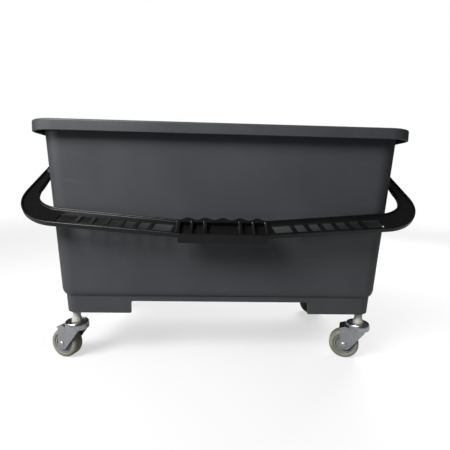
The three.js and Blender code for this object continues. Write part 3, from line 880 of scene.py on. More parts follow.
@dataclass(frozen=True)
class Nylon:
    """Off-white nylon with grey smears."""

    name: str
    colour: Colour
    smear: Colour
    roughness: float = 0.4
    clouds: Pattern = Pattern(90.0, 4.0)
    rings: Pattern = Pattern(260.0, 2.0, (0.1, 0.1, 1.0))
    speckle: Pattern = Pattern(1200.0)
    cloud_dirt: float = 0.6
    ring_dirt: float = 0.4
    dirt_band: tuple[float, float] = (0.45, 0.75)
    dirt_roughness: float = 0.2
    smear_share: float = 0.45
    relief_depth: float = 0.00003

    def made(self) -> bpy.types.Material:
        """Makes the material.

        Returns:
            The material.
        """
        shader = Shader.material(self.name)
        clouds = shader.noise(self.clouds)
        rings = shader.noise(self.rings)
        speckle = shader.noise(self.speckle)
        dirt = (clouds * self.cloud_dirt + rings * self.ring_dirt).between(*self.dirt_band)
        inputs = {
            "Base Color": shader.mixed(dirt * self.smear_share, self.colour, self.smear),
            "Roughness": self.roughness + dirt * self.dirt_roughness,
        }
        return shader.finished(inputs, (speckle + rings) * 0.5, self.relief_depth)


@dataclass(frozen=True)
class PlatedSteel:
    """Zinc-plated pressed steel: bright, a little blue, with soft stains and fine drawing lines."""

    name: str
    colour: Colour
    stain: Colour
    roughness: float = 0.2
    dullness: float = 0.5
    clouds: Pattern = Pattern(120.0, 4.0)
    lines: Pattern = Pattern(900.0, 2.0, (1.0, 1.0, 0.06))
    spots: Pattern = Pattern(480.0, 3.0, band=(0.62, 0.72))
    spangle_scale: float = 700.0
    stain_band: tuple[float, float] = (0.35, 0.7)
    # How much each pattern tells in the colour, the roughness and the relief.
    cloud_stain: float = 0.6
    spangle_stain: float = 0.25
    spot_stain: float = 0.35
    cloud_roughness: float = 0.12
    spot_roughness: float = 0.2
    spangle_roughness: float = 0.05
    spot_cover: float = 0.3
    line_relief: float = 0.6
    cloud_relief: float = 0.4
    relief_depth: float = 0.00002

    def made(self) -> bpy.types.Material:
        """Makes the material.

        Returns:
            The material.
        """
        shader = Shader.material(self.name)
        clouds = shader.noise(self.clouds)
        spangle = shader.cells(self.spangle_scale)
        lines = shader.noise(self.lines)
        spots = shader.noise(self.spots)
        stains = clouds.between(*self.stain_band) * self.cloud_stain
        share = (stains + spangle * self.spangle_stain) * self.dullness
        colour = shader.mixed(share, self.colour, self.stain)
        inputs = {
            "Base Color": shader.mixed(spots * self.spot_stain, colour, self.stain),
            "Roughness": (
                self.roughness
                + clouds * self.cloud_roughness
                + spots * self.spot_roughness
                + spangle * self.spangle_roughness
            ),
            "Metallic": 1.0 - spots * self.spot_cover,
        }
        relief = lines * self.line_relief + clouds * self.cloud_relief
        return shader.finished(inputs, relief, self.relief_depth)


@dataclass(frozen=True)
class Rubber:
    """Grey rubber with a dusty, scuffed tread."""

    name: str
    colour: Colour
    dust: Colour
    roughness: float = 0.66
    clouds: Pattern = Pattern(70.0, 5.0)
    scuffs: Pattern = Pattern(300.0, 4.0, band=(0.52, 0.72))
    pores: Pattern = Pattern(2200.0)
    dust_band: tuple[float, float] = (0.35, 0.7)
    cloud_dust: float = 0.5
    scuff_dust: float = 0.35
    scuff_roughness: float = 0.16
    relief_depth: float = 0.00006

    def made(self) -> bpy.types.Material:
        """Makes the material.

        Returns:
            The material.
        """
        shader = Shader.material(self.name)
        clouds = shader.noise(self.clouds)
        scuffs = shader.noise(self.scuffs)
        pores = shader.noise(self.pores)
        dust = clouds.between(*self.dust_band) * self.cloud_dust + scuffs * self.scuff_dust
        inputs = {
            "Base Color": shader.mixed(dust, self.colour, self.dust),
            "Roughness": self.roughness + scuffs * self.scuff_roughness,
        }
        return shader.finished(inputs, (pores + clouds) * 0.5, self.relief_depth)


@dataclass(frozen=True)
class Finishes:
    """The finishes of the whole bucket."""

    tub: MouldedPlastic = MouldedPlastic(
        "grey_tub_plastic",
        srgb(54, 56, 59),
        srgb(63, 65, 68),
        srgb(108, 110, 112),
        specular=0.35,
        scuff_share=0.15,
    )
    handle: MouldedPlastic = MouldedPlastic(
        "black_handle_plastic",
        srgb(11, 11, 11),
        srgb(17, 17, 17),
        srgb(58, 58, 58),
        roughness=0.2,
        specular=0.36,
        grain=Pattern(1900.0),
        grain_depth=0.00001,
        scuff_share=0.2,
        # The handle's pale edges are partly wear and partly a painted highlight.
        wear_and_highlight_share=0.25,
        wear_and_highlight_radius=0.0008,
    )
    sleeve: Nylon = Nylon("off_white_nylon", srgb(172, 171, 161), srgb(124, 123, 111))
    zinc: PlatedSteel = PlatedSteel(
        "zinc_plate", (0.56, 0.59, 0.61), (0.34, 0.37, 0.40), roughness=0.14, dullness=0.35
    )
    steel: PlatedSteel = PlatedSteel(
        "bright_steel",
        (0.56, 0.56, 0.57),
        (0.36, 0.36, 0.37),
        roughness=0.3,
        lines=Pattern(1500.0, stretch=(1.0, 1.0, 0.06)),
    )
    tread: Rubber = Rubber("grey_rubber", srgb(112, 112, 98), srgb(146, 146, 132))
    core: MouldedPlastic = MouldedPlastic(
        "grey_wheel_plastic",
        srgb(104, 106, 103),
        srgb(124, 126, 122),
        srgb(150, 150, 144),
        roughness=0.5,
        clouds=Pattern(60.0, 4.0),
    )

    def materials(self) -> dict[Slot, bpy.types.Material]:
        """Makes all the finishes.

        Returns:
            The material for each slot.
        """
        return {
            Slot.TUB: self.tub.made(),
            Slot.HANDLE: self.handle.made(),
            Slot.SLEEVE: self.sleeve.made(),
            Slot.ZINC: self.zinc.made(),
            Slot.STEEL: self.steel.made(),
            Slot.TREAD: self.tread.made(),
            Slot.CORE: self.core.made(),
        }


@dataclass
class Dresser:
    """Gives pieces their finish, and ties them to the bodies and nodes that they stand for."""

    materials: dict[Slot, bpy.types.Material]

    def dress(self, piece: Workpiece, slot: Slot, body: str, *nodes: str) -> None:
        """Finishes a new piece.

        Args:
            piece: The piece.
            slot: The record's slot that its finish comes from.
            body: The body that it moves with.
            nodes: The nodes that it stands for.
        """
        thing = piece.thing
        thing.data.materials.clear()
        thing.data.materials.append(self.materials[slot])
        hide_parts(*nodes)
        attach(thing, body)
        faces = len(thing.data.polygons)
        log.info("%s: %d faces, %s, rides on %s", thing.name, faces, slot.value, body)

    def repaint(self, node: str, slot: Slot) -> None:
        """Gives a kept node its finish.

        Args:
            node: The node.
            slot: The record's slot that its finish comes from.
        """
        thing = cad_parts[node]
        for place in thing.material_slots:
            place.material = self.materials[slot]
        log.info("%s: kept, %s", node, slot.value)


@dataclass(frozen=True)
class Bend:
    """One corner of the section through the tub's wall, on the wall's outside or inside."""

    inset: float
    z: float
    radius: float = 0.0
    inside: bool = False


@dataclass
class Tub:
    """The moulded tub, with its rim collar, feet, castor sockets and handle pivots."""

    rim_length: float = 0.5
    rim_width: float = 0.27
    rim_corner_radius: float = 0.037
    rim_overhang: float = 0.0126
    rim_band_height: float = 0.0142
    rim_thickness: float = 0.0028
    rim_edge_radius: float = 0.0024
    rim_fillet: float = 0.0016
    wall_thickness: float = 0.003
    wall_draft: float = 0.0634
    corner_tightening_share: float = 0.6
    floor_thickness: float = 0.0032
    belly_height: float = 0.013
    belly_inset: float = 0.0047
    inner_floor_radius: float = 0.01
    foot_z: float = 0.071
    foot_height: float = 0.026
    tub_height: float = 0.259
    skirt_height: float = 0.0082
    foot_reach_x: float = 0.125
    foot_reach_y: float = 0.048
    notch_radius: float = 0.0035
    foot_toe_radius: float = 0.002
    edge_softness: float = 0.0006
    socket_inset: float = 0.0123
    socket_wall: float = 0.0034
    socket_lift: float = 0.002
    socket_roof: float = 0.0016
    socket_rib_thickness: float = 0.0024
    socket_rib_length: float = 0.022
    sleeve_radius: float = 0.0055
    sleeve_depth: float = 0.021
    pivot_drop: float = 0.0348
    boss_radius: float = 0.0114
    boss_edge_radius: float = 0.0012
    boss_rib_drop: float = 0.026
    boss_rib_thickness: float = 0.003
    peg_radius: float = 0.0065
    peg_lip: float = 0.0011
    peg_lip_length: float = 0.0026
    peg_slot: float = 0.0022
    eye_thickness: float = 0.0086
    corner_steps: int = 14
    fillet_steps: int = 5
    belly_steps: int = 12
    round_steps: int = 48
    middle_y: float = field(default_factory=lambda: sum(c.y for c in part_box("tub")) / 2)

    @property
    def rim_z(self) -> float:
        """The height of the rim's top."""
        return self.foot_z + self.tub_height

    @property
    def rim_under_z(self) -> float:
        """The height of the rim's underside, inside its collar."""
        return self.rim_z - self.rim_thickness

    @property
    def seam_z(self) -> float:
        """The height where the wall steps in to the feet."""
        return self.foot_z + self.foot_height

    @property
    def notch_z(self) -> float:
        """The height of the gaps between the feet."""
        return self.seam_z - self.skirt_height

    @property
    def pivot_z(self) -> float:
        """The height of the handle's pivots."""
        return self.rim_z - self.pivot_drop

    @property
    def belly_z(self) -> float:
        """The height where the wall starts to curve in to the feet."""
        return self.seam_z + self.belly_height

    @property
    def floor_z(self) -> float:
        """The height of the tub's inner floor."""
        return self.seam_z + self.floor_thickness

    @property
    def skirt_inset(self) -> float:
        """How far the feet's tops stand in from the rim's outline."""
        return self.wall_inset(self.belly_z) + self.belly_inset

    @property
    def foot_inset(self) -> float:
        """How far the feet's undersides stand in from the rim's outline."""
        return self.skirt_inset + self.wall_draft * self.foot_height

    @property
    def eye_start(self) -> float:
        """Where the handle's eye starts along X."""
        return self.rim_length / 2 + GAP

    @property
    def eye_end(self) -> float:
        """Where the handle's eye ends along X."""
        return self.eye_start + self.eye_thickness

    def wall_inset(self, z: float) -> float:
        """Returns how far the wall's outside stands in from the rim's outline at a height."""
        return self.rim_overhang + self.wall_draft * (self.rim_under_z - z)

    def corner_radius(self, inset: float) -> float:
        """Returns the corner's radius at an inset."""
        return self.rim_corner_radius - self.corner_tightening_share * inset

    def profile(self) -> list[Bend]:
        """Works out the wall's section, from under the floor round to the floor's top.

        Returns:
            The section's points, in order.
        """
        wall = self.wall_thickness
        soft = self.edge_softness
        middle = self.rim_length / 4
        inner_top = self.wall_inset(self.rim_z) + wall
        inner_low = self.wall_inset(self.floor_z) + wall
        band_z = self.rim_z - self.rim_band_height
        belly = [
            Bend(
                self.skirt_inset - self.belly_inset * sine,
                self.seam_z + self.belly_height * (1 - cosine),
            )
            for cosine, sine in quarter_turn(self.belly_steps)[1:]
        ]
        corners = [
            Bend(middle, self.seam_z),
            Bend(self.skirt_inset + wall, self.seam_z, 2 * soft, inside=True),
            Bend(self.foot_inset + wall, self.foot_z, soft, inside=True),
            Bend(self.foot_inset, self.foot_z, soft),
            Bend(self.skirt_inset, self.seam_z),
            *belly,
            Bend(self.wall_inset(self.rim_under_z), self.rim_under_z, self.rim_fillet),
            Bend(self.rim_thickness, self.rim_under_z, self.rim_fillet),
            Bend(self.rim_thickness, band_z, soft),
            Bend(0.0, band_z, soft),
            Bend(0.0, self.rim_z, self.rim_edge_radius),
            Bend(inner_top, self.rim_z, self.rim_edge_radius, inside=True),
            Bend(inner_low, self.floor_z, self.inner_floor_radius, inside=True),
            Bend(middle, self.floor_z),
        ]
        section = []
        for before, bend, after in zip(corners, corners[1:], corners[2:]):
            start = (before.inset, before.z, 0.0)
            end = (after.inset, after.z, 0.0)
            points = rounded([start, (bend.inset, bend.z, bend.radius), end], self.fillet_steps)
            section += [Bend(inset, z, inside=bend.inside) for inset, z in points[1:-1]]
        return section

    def shell(self) -> Workpiece:
        """Makes the tub's closed wall, floor and skirt, before its feet are cut.

        Returns:
            The shell.
        """
        levels = []
        for bend in self.profile():
            wall = self.wall_thickness if bend.inside else 0.0
            radius = self.corner_radius(bend.inset - wall) - wall
            half_x = self.rim_length / 2 - bend.inset
            half_y = self.rim_width / 2 - bend.inset
            levels.append(Level(half_x, half_y, bend.z, radius))
        return Workpiece.lofted("tub", levels, self.middle_y, self.corner_steps)

    def notch_outline(self, reach: float) -> list[Point]:
        """Outlines the gap between two feet, rounded at its top and flared at the toes.

        Args:
            reach: How far from the middle the feet start.

        Returns:
            The outline.
        """
        low = self.foot_z - OVERRUN
        toe = self.foot_toe_radius
        right = [
            (reach + toe * (1 - sine), self.foot_z + toe * (1 - cosine))
            for cosine, sine in quarter_turn(self.fillet_steps)
        ]
        left = [(-across, z) for across, z in reversed(right)]
        corners = [
            (reach, self.notch_z, self.notch_radius),
            (-reach, self.notch_z, self.notch_radius),
            (-reach, low, 0.0),
            (reach, low, 0.0),
        ]
        top = rounded(corners, self.fillet_steps)[:-2]
        return [(reach + toe, low), *right, *top, *left, (-reach - toe, low)]

    def feet_cut(self, body: Workpiece) -> None:
        """Cuts the gaps between the feet.

        Args:
            body: The tub's shell.
        """
        long = self.rim_length / 2 + OVERRUN
        wide = self.rim_width / 2 + OVERRUN
        front = self.notch_outline(self.foot_reach_x)
        side = [(a + self.middle_y, b) for a, b in self.notch_outline(self.foot_reach_y)]
        body.worked(
            Join.CUT,
            Workpiece.prism(
                "front_gap", front, Plane.FRONT, self.middle_y - wide, self.middle_y + wide
            ),
            Workpiece.prism("end_gap", side, Plane.END, -long, long),
        )

    def castor_place(self, side_x: int, side_y: int) -> Vector:
        """Finds where a castor's stem stands.

        Args:
            side_x: The side along X, -1 or 1.
            side_y: The side along Y, -1 or 1.

        Returns:
            The stem's place on the floor.
        """
        x = self.rim_length / 2 - self.foot_inset - self.socket_inset
        y = self.rim_width / 2 - self.foot_inset - self.socket_inset
        return Vector((side_x * x, self.middle_y + side_y * y, 0.0))

    def socket(self, side_x: int, side_y: int) -> tuple[Workpiece, ...]:
        """Makes the tube and ribs of one castor's socket.

        Args:
            side_x: The side along X, -1 or 1.
            side_y: The side along Y, -1 or 1.

        Returns:
            The tube and the two ribs.
        """
        x, y, _ = self.castor_place(side_x, side_y)
        low = self.foot_z + self.socket_lift
        high = self.seam_z + self.floor_thickness / 2
        soft = self.edge_softness
        radius = self.sleeve_radius + GAP + self.socket_wall
        profile = [
            (0.0, low),
            (radius - soft, low),
            (radius, low + soft),
            (radius, high),
            (0.0, high),
        ]
        tube = Workpiece.spun("socket", profile, self.round_steps, closed=False)
        tube.moved(Matrix.Translation((x, y, 0.0)))
        half = self.socket_rib_thickness / 2
        in_x = x - side_x * self.socket_rib_length
        in_y = y - side_y * self.socket_rib_length
        spans = [
            ((min(x, in_x), y - half), (max(x, in_x), y + half)),
            ((x - half, min(y, in_y)), (x + half, max(y, in_y))),
        ]
        ribs = [Workpiece.block("rib", (*a, self.notch_z), (*b, high)) for a, b in spans]
        return tube, *ribs

    def socket_bore(self, side_x: int, side_y: int) -> Workpiece:
        """Makes the tool that bores one castor's socket.

        Args:
            side_x: The side along X, -1 or 1.
            side_y: The side along Y, -1 or 1.

        Returns:
            The tool.
        """
        radius = self.sleeve_radius + GAP
        top = self.foot_z + self.sleeve_depth + self.socket_roof
        tool = Workpiece.rod("bore", radius, self.foot_z - OVERRUN, top, self.round_steps)
        return tool.moved(Matrix.Translation(self.castor_place(side_x, side_y)))

    @property
    def peg_end(self) -> float:
        """Where the handle's peg ends along X."""
        return self.eye_end + GAP + self.peg_lip_length

    def boss(self) -> Workpiece:
        """Makes the right boss and its peg, with the lip that holds the handle's eye.

        Returns:
            The boss and peg.
        """
        face = self.rim_length / 2
        root = face - self.wall_inset(self.pivot_z) - self.wall_thickness / 2
        soft = self.boss_edge_radius
        lip = self.peg_radius + self.peg_lip
        seat = self.eye_end + GAP
        corners = [
            (self.boss_radius, root, 0.0),
            (self.boss_radius, face, soft),
            (self.peg_radius, face, 0.0),
        ]
        profile = [
            (0.0, root),
            *rounded(corners, self.fillet_steps),
            (self.peg_radius, seat),
            (lip, seat),
            (lip, self.peg_end - self.peg_lip_length / 2),
            (self.peg_radius, self.peg_end - soft / 3),
            (self.peg_radius - self.peg_lip, self.peg_end),
            (0.0, self.peg_end),
        ]
        piece = Workpiece.spun("boss", profile, self.round_steps, closed=False)
        return piece.moved(Matrix.Translation((0.0, self.middle_y, self.pivot_z)) @ ONTO_X)

    def gussets(self) -> list[Workpiece]:
        """Makes the two gussets between the right boss, the wall and the rim.

        Returns:
            The gussets.
        """
        foot_z = self.pivot_z - self.boss_rib_drop
        top_z = self.rim_under_z + self.rim_thickness / 2
        face = self.rim_length / 2
        rib_face = face - self.rim_thickness / 2
        root = face - self.wall_thickness / 2
        outline = [
            (root - self.wall_inset(foot_z), foot_z),
            (rib_face, self.pivot_z),
            (rib_face, top_z),
            (root - self.wall_inset(top_z), top_z),
        ]
        half = self.boss_rib_thickness / 2
        off = self.boss_radius - half - GAP / 2
        return [
            Workpiece.prism("gusset", outline, Plane.FRONT, y - half, y + half)
            for y in (self.middle_y - off, self.middle_y + off)
        ]

    def pivot(self) -> Workpiece:
        """Makes the right pivot: boss, gussets, and the split peg for the handle's eye.

        Returns:
            The pivot.
        """
        tall = self.peg_radius + self.peg_lip + OVERRUN
        half = self.peg_slot / 2
        pivot = self.boss().worked(Join.UNION, *self.gussets())
        slot = Workpiece.block(
            "peg_slot",
            (self.eye_start + self.peg_lip, self.middle_y - half, self.pivot_z - tall),
            (self.peg_end + OVERRUN, self.middle_y + half, self.pivot_z + tall),
        )
        return pivot.worked(Join.CUT, slot)

    def build(self) -> Workpiece:
        """Builds the tub.

        Returns:
            The finished tub.
        """
        body = self.shell()
        self.feet_cut(body)
        sides = [(x, y) for x in (-1, 1) for y in (-1, 1)]
        for side in sides:
            body.worked(Join.UNION, *self.socket(*side))
        for side in sides:
            body.worked(Join.CUT, self.socket_bore(*side))
        right = self.pivot()
        left = right.mirrored("left_pivot")
        body.worked(Join.UNION, right, left)
        return body.cleaned().shaded(SMOOTH_ANGLE)

    def dress(self, dresser: Dresser) -> None:
        """Builds and finishes the tub."""
        dresser.dress(self.build(), Slot.TUB, "tub", "tub")


@dataclass
class Handle:
    """The black bail: two legs with eyes, slotted arms with raised edges, and a ribbed grip."""

    tub: Tub
    bow: float = 0.0059
    rim_swing_gap: float = 0.0023
    face_lift: float = 0.0033
    rest_gap: float = 0.0005
    arm_width: float = 0.028
    arm_thickness: float = 0.007
    arm_outer_slope: float = 0.11
    arm_inner_slope: float = 0.128
    leg_width: float = 0.0205
    leg_knee: float = 0.046
    leg_thumb: float = 0.09
    leg_side_gap: float = 0.001
    leg_spread: float = 0.0034
    bend_outer_radius: float = 0.0615
    bend_inner_radius: float = 0.042
    bend_sag: float = 0.0003
    flange: float = 0.0026
    channel_depth: float = 0.0022
    channel_start: float = 0.052
    slot_count: int = 5
    long_slot_length: float = 0.024
    slot_height: float = 0.014
    slot_shift: float = 0.0012
    slot_lean: float = 0.004
    slot_corner: float = 0.0016
    slot_gap: float = 0.0052
    slot_end_inset: float = 0.0058
    eye_radius: float = 0.012
    grip_half_length: float = 0.056
    grip_thickness: float = 0.016
    grip_edge: float = 0.005
    grip_proud: float = 0.0007
    finger_pitch: float = 0.023
    finger_depth: float = 0.0048
    finger_count: int = 5
    pocket_depth: float = 0.0065
    pocket_corner: float = 0.001
    pocket_lip: float = 0.0007
    grip_end_rib: float = 0.0024
    grip_rib: float = 0.003
    grip_thick_rib: float = 0.0045
    grip_pocket_half: float = 0.02
    grip_inner_land: float = 0.0044
    edge_softness: float = 0.0009
    slot_softness: float = 0.0004
    bend_steps: int = 26
    slot_steps: int = 3
    wave_steps: int = 12
    edge_segments: int = 3
    slot_segments: int = 2
    grip_segments: int = 6

    @property
    def leg_inner(self) -> float:
        """How far out the legs' inner edges lie."""
        return self.tub.rim_length / 2 + self.leg_side_gap

    @property
    def half_width(self) -> float:
        """How far out the legs' outer edges lie."""
        return self.leg_inner + self.bow + self.leg_width - self.bend_sag

    @property
    def front_flat(self) -> float:
        """Where the flat of the tub's front wall ends, at the pivots' height."""
        inset = self.tub.wall_inset(self.tub.pivot_z)
        return self.tub.rim_length / 2 - inset - self.tub.corner_radius(inset)

    @property
    def reach(self) -> float:
        """How far the arms' middle line lies from the pivots."""
        swing = math.hypot(self.tub.rim_width / 2, self.tub.pivot_drop) + self.rim_swing_gap
        return swing + self.arm_inner_slope * self.past_grip(self.front_flat) + self.arm_width / 2

    @property
    def face(self) -> float:
        """The height of the shown face through the handle's thickness."""
        return -self.face_lift

    @property
    def arm_back(self) -> float:
        """The height of the arms' back."""
        return self.face + self.arm_thickness

    @property
    def grip_back(self) -> float:
        """The height of the grip's back."""
        return self.face + self.grip_thickness

    @property
    def rest_angle(self) -> float:
        """How far below level the handle hangs when its arms rest against the tub's wall.

        Returns:
            The angle in radians.
        """
        tub = self.tub
        out = self.arm_inner(self.front_flat)
        wall = tub.rim_width / 2 - tub.wall_inset(tub.pivot_z) + self.rest_gap
        a = out + tub.wall_draft * self.arm_back
        b = tub.wall_draft * out - self.arm_back
        return math.atan2(b, a) + math.acos(wall / math.hypot(a, b))

    def past_grip(self, u: float) -> float:
        """Returns how far past the grip's end a place lies."""
        return max(0.0, abs(u) - self.grip_half_length)

    def arm_inner(self, u: float) -> float:
        """Returns how far out the arm's inner edge lies."""
        return self.reach - self.arm_width / 2 - self.arm_inner_slope * self.past_grip(u)

    def arm_outer(self, u: float) -> float:
        """Returns how far out the arm's outer edge lies."""
        return self.reach + self.arm_width / 2 - self.arm_outer_slope * self.past_grip(u)

    def bail_outline(self, inset: float, start: float, end: float) -> list[Point]:
        """Outlines the right arm and leg, or the channel in them.

        Args:
            inset: How far the outline is drawn in.
            start: How far from the pivot the leg's outline starts.
            end: How far from the middle the arm's outline ends.

        Returns:
            The outline.
        """
        tub = self.tub
        outer = self.half_width - inset
        inner = self.half_width - self.leg_width + inset
        knee = max(self.leg_knee, start)
        share = (knee - self.leg_knee) / (self.arm_outer(outer) - self.leg_knee)
        knee_low = tub.eye_end + self.leg_spread
        knee_out = knee_low + (self.half_width - knee_low) * share - inset
        eye_side = []
        if start < self.eye_radius:
            eye_side = [(tub.eye_end, start, 0.0), (tub.eye_end, self.eye_radius, 0.0)]
        corners = [
            *eye_side,
            (knee_out, knee, 0.0),
            (outer, self.arm_outer(outer) - inset, self.bend_outer_radius - inset),
            (end, self.arm_outer(end) - inset, 0.0),
            (end, self.arm_inner(end) + inset, 0.0),
            (inner, self.arm_inner(inner) + inset, self.bend_inner_radius + inset),
            (self.leg_inner + inset, max(self.leg_thumb, start), 0.0),
            (self.leg_inner + inset, start, 0.0),
        ]
        return rounded(corners, self.bend_steps)

    def slot_cutter(self, centre: float, length: float) -> Workpiece:
        """Makes the tool for a slot through the arm's web, with slanted ends, along the arm.

        Args:
            centre: How far from the middle the slot's centre lies.
            length: The slot's length.

        Returns:
            The tool.
        """
        v = self.reach + self.slot_shift - self.arm_outer_slope * self.past_grip(centre)
        half = self.slot_height / 2
        lean = self.slot_lean / 2
        rise = self.arm_outer_slope * length / 2
        corners = [
            (centre - length / 2 + lean, v + half + rise, self.slot_corner),
            (centre - length / 2 - lean, v - half + rise, self.slot_corner),
            (centre + length / 2 - lean, v - half - rise, self.slot_corner),
            (centre + length / 2 + lean, v + half - rise, self.slot_corner),
        ]
        outline = rounded(corners, self.slot_steps)
        return Workpiece.prism(
            "slot", outline, Plane.LEVEL, self.face - OVERRUN, self.arm_back + OVERRUN
        )

    def slot_cutters(self) -> list[Workpiece]:
        """Makes the row of slot tools: a long one at each end, and short ones between them.

        Returns:
            The tools.
        """
        start = self.grip_half_length + self.grip_end_rib + self.slot_gap
        end = self.half_width - self.bend_outer_radius - self.slot_end_inset
        run = end - start - 2 * self.long_slot_length - (self.slot_count + 1) * self.slot_gap
        short = run / self.slot_count
        first = start + self.long_slot_length + self.slot_gap + short / 2
        centres = [(start + self.long_slot_length / 2, self.long_slot_length)]
        centres += [(first + n * (short + self.slot_gap), short) for n in range(self.slot_count)]
        centres.append((end - self.long_slot_length / 2, self.long_slot_length))
        return [self.slot_cutter(centre, length) for centre, length in centres]

    def channel_cutters(self) -> list[Workpiece]:
        """Makes the tools for the channels along both faces of the right arm and leg.

        Returns:
            The tools.
        """
        end = self.grip_half_length + self.grip_end_rib
        outline = self.bail_outline(self.flange, self.channel_start, end)
        spans = {
            "face_channel": (self.face - OVERRUN, self.face + self.channel_depth),
            "back_channel": (self.arm_back - self.channel_depth, self.arm_back + OVERRUN),
        }
        return [Workpiece.prism(name, outline, Plane.LEVEL, *span) for name, span in spans.items()]

    def half(self) -> Workpiece:
        """Makes the right leg and arm, with their channels, slots and eye.

        The edges are rounded in stages, so that the small edges don't narrow the long ones.

        Returns:
            The right half, without the grip.
        """
        tub = self.tub
        outline = self.bail_outline(0.0, 0.0, self.grip_half_length - OVERRUN)
        arm = Workpiece.prism("arm", outline, Plane.LEVEL, self.face, self.arm_back)
        arm.worked(Join.CUT, *self.channel_cutters())
        arm.cleaned().softened(self.edge_softness, self.edge_segments, BEVEL_ANGLE)
        arm.worked(Join.CUT, *self.slot_cutters())
        arm.cleaned().softened(self.slot_softness, self.slot_segments, BEVEL_ANGLE)
        soft = self.slot_softness
        eye = Workpiece.rod(
            "eye", self.eye_radius, tub.eye_start, tub.eye_end, tub.round_steps, soft
        )
        bore = Workpiece.rod(
            "eye_bore",
            tub.peg_radius + GAP,
            tub.eye_start - OVERRUN,
            tub.eye_end + OVERRUN,
            tub.round_steps,
            -(soft + OVERRUN),
        )
        arm.worked(Join.UNION, eye.moved(ONTO_X)).worked(Join.CUT, bore.moved(ONTO_X))
        return arm.cleaned()

    def grip_outline(self) -> list[Point]:
        """Outlines the grip, with finger waves along its inner edge.

        Returns:
            The outline.
        """
        inner = self.reach - self.arm_width / 2
        outer = self.reach + self.arm_width / 2 + self.grip_proud
        count = self.finger_count * self.wave_steps
        span = min(self.finger_count * self.finger_pitch, 2 * self.grip_half_length)
        waves = []
        for step in range(count + 1):
            u = -span / 2 + span * step / count
            swell = (1 - math.cos(math.tau * self.finger_count * step / count)) / 2
            waves.append((u, inner - self.finger_depth * swell))
        half = self.grip_half_length
        return [(half, outer), (-half, outer), *waves]

    def grip(self) -> Workpiece:
        """Makes the grip, rounded all along its back.

        Returns:
            The grip, before its pockets are cut.
        """
        piece = Workpiece.prism(
            "grip", self.grip_outline(), Plane.LEVEL, self.face, self.grip_back
        )
        with piece.editing():
            piece.choose_edges(
                lambda edge: all(
                    abs(vertex.co.z - self.grip_back) < PLACE_SLACK for vertex in edge.verts
                )
            )
            bpy.ops.mesh.bevel(
                offset=self.grip_edge,
                offset_type="OFFSET",
                segments=self.grip_segments,
                affect="EDGES",
                clamp_overlap=True,
            )
            bpy.ops.mesh.select_all(action="SELECT")
            bpy.ops.mesh.remove_doubles(threshold=PLACE_SLACK)
            piece.set_normals()
        return piece

    def pocket(self, start: float, end: float) -> tuple[Workpiece, Workpiece]:
        """Makes the tools for one pocket in the grip's shown face.

        Args:
            start: Where the pocket starts along the grip.
            end: Where it ends.

        Returns:
            The tool for the pocket, and the flared one for its lip.
        """
        low = self.reach - self.arm_width / 2 + self.grip_inner_land
        high = self.reach + self.arm_width / 2 + self.grip_proud - self.flange
        corner = self.pocket_corner
        corners = [
            (start, low, corner),
            (end, low, corner),
            (end, high, corner),
            (start, high, corner),
        ]
        outline = rounded(corners, self.slot_steps)
        pocket, lip = (
            Workpiece.prism(name, outline, Plane.LEVEL, self.face - OVERRUN, self.face + depth)
            for name, depth in (("pocket", self.pocket_depth), ("pocket_lip", self.pocket_lip))
        )
        flare = 2 * (self.pocket_lip + OVERRUN)
        with lip.editing():
            lip.choose_edges(lambda edge: all(vertex.co.z < self.face for vertex in edge.verts))
            bpy.ops.transform.resize(
                value=(1 + flare / (end - start), 1 + flare / (high - low), 1.0),
                center_override=((start + end) / 2, (low + high) / 2, self.face),
            )
        return pocket, lip

    def pocket_cutters(self) -> list[Workpiece]:
        """Makes the tools for the blind pockets in the grip's shown face.

        Returns:
            The tools.
        """
        inside = self.grip_pocket_half + self.grip_thick_rib
        outside = self.grip_half_length - self.grip_end_rib
        middle = (inside + outside) / 2
        half_rib = self.grip_rib / 2
        spans = [
            (-self.grip_pocket_half, self.grip_pocket_half),
            (inside, middle - half_rib),
            (middle + half_rib, outside),
            (-middle + half_rib, -inside),
            (-outside, -middle - half_rib),
        ]
        return [tool for span in spans for tool in self.pocket(*span)]

    def build(self) -> Workpiece:
        """Builds the handle, hanging at rest.

        Returns:
            The finished handle.
        """
        right = self.half()
        left = right.mirrored("left_half")
        grip = self.grip().cleaned()
        grip.softened(self.edge_softness, self.edge_segments, BEVEL_ANGLE)
        grip.worked(Join.CUT, *self.pocket_cutters())
        grip.cleaned().softened(self.slot_softness, self.slot_segments, BEVEL_ANGLE)
        grip.worked(Join.UNION, right, left)
        piece = Workpiece(grip.thing, "handle").cleaned()
        place = Matrix.Translation((0.0, self.tub.middle_y, self.tub.pivot_z))
        piece.moved(place @ Matrix.Rotation(math.pi + self.rest_angle, 4, "X"))
        return piece.shaded(SMOOTH_ANGLE)

    def dress(self, dresser: Dresser) -> None:
        """Builds and finishes the handle."""
        dresser.dress(self.build(), Slot.HANDLE, "handle", "handle")


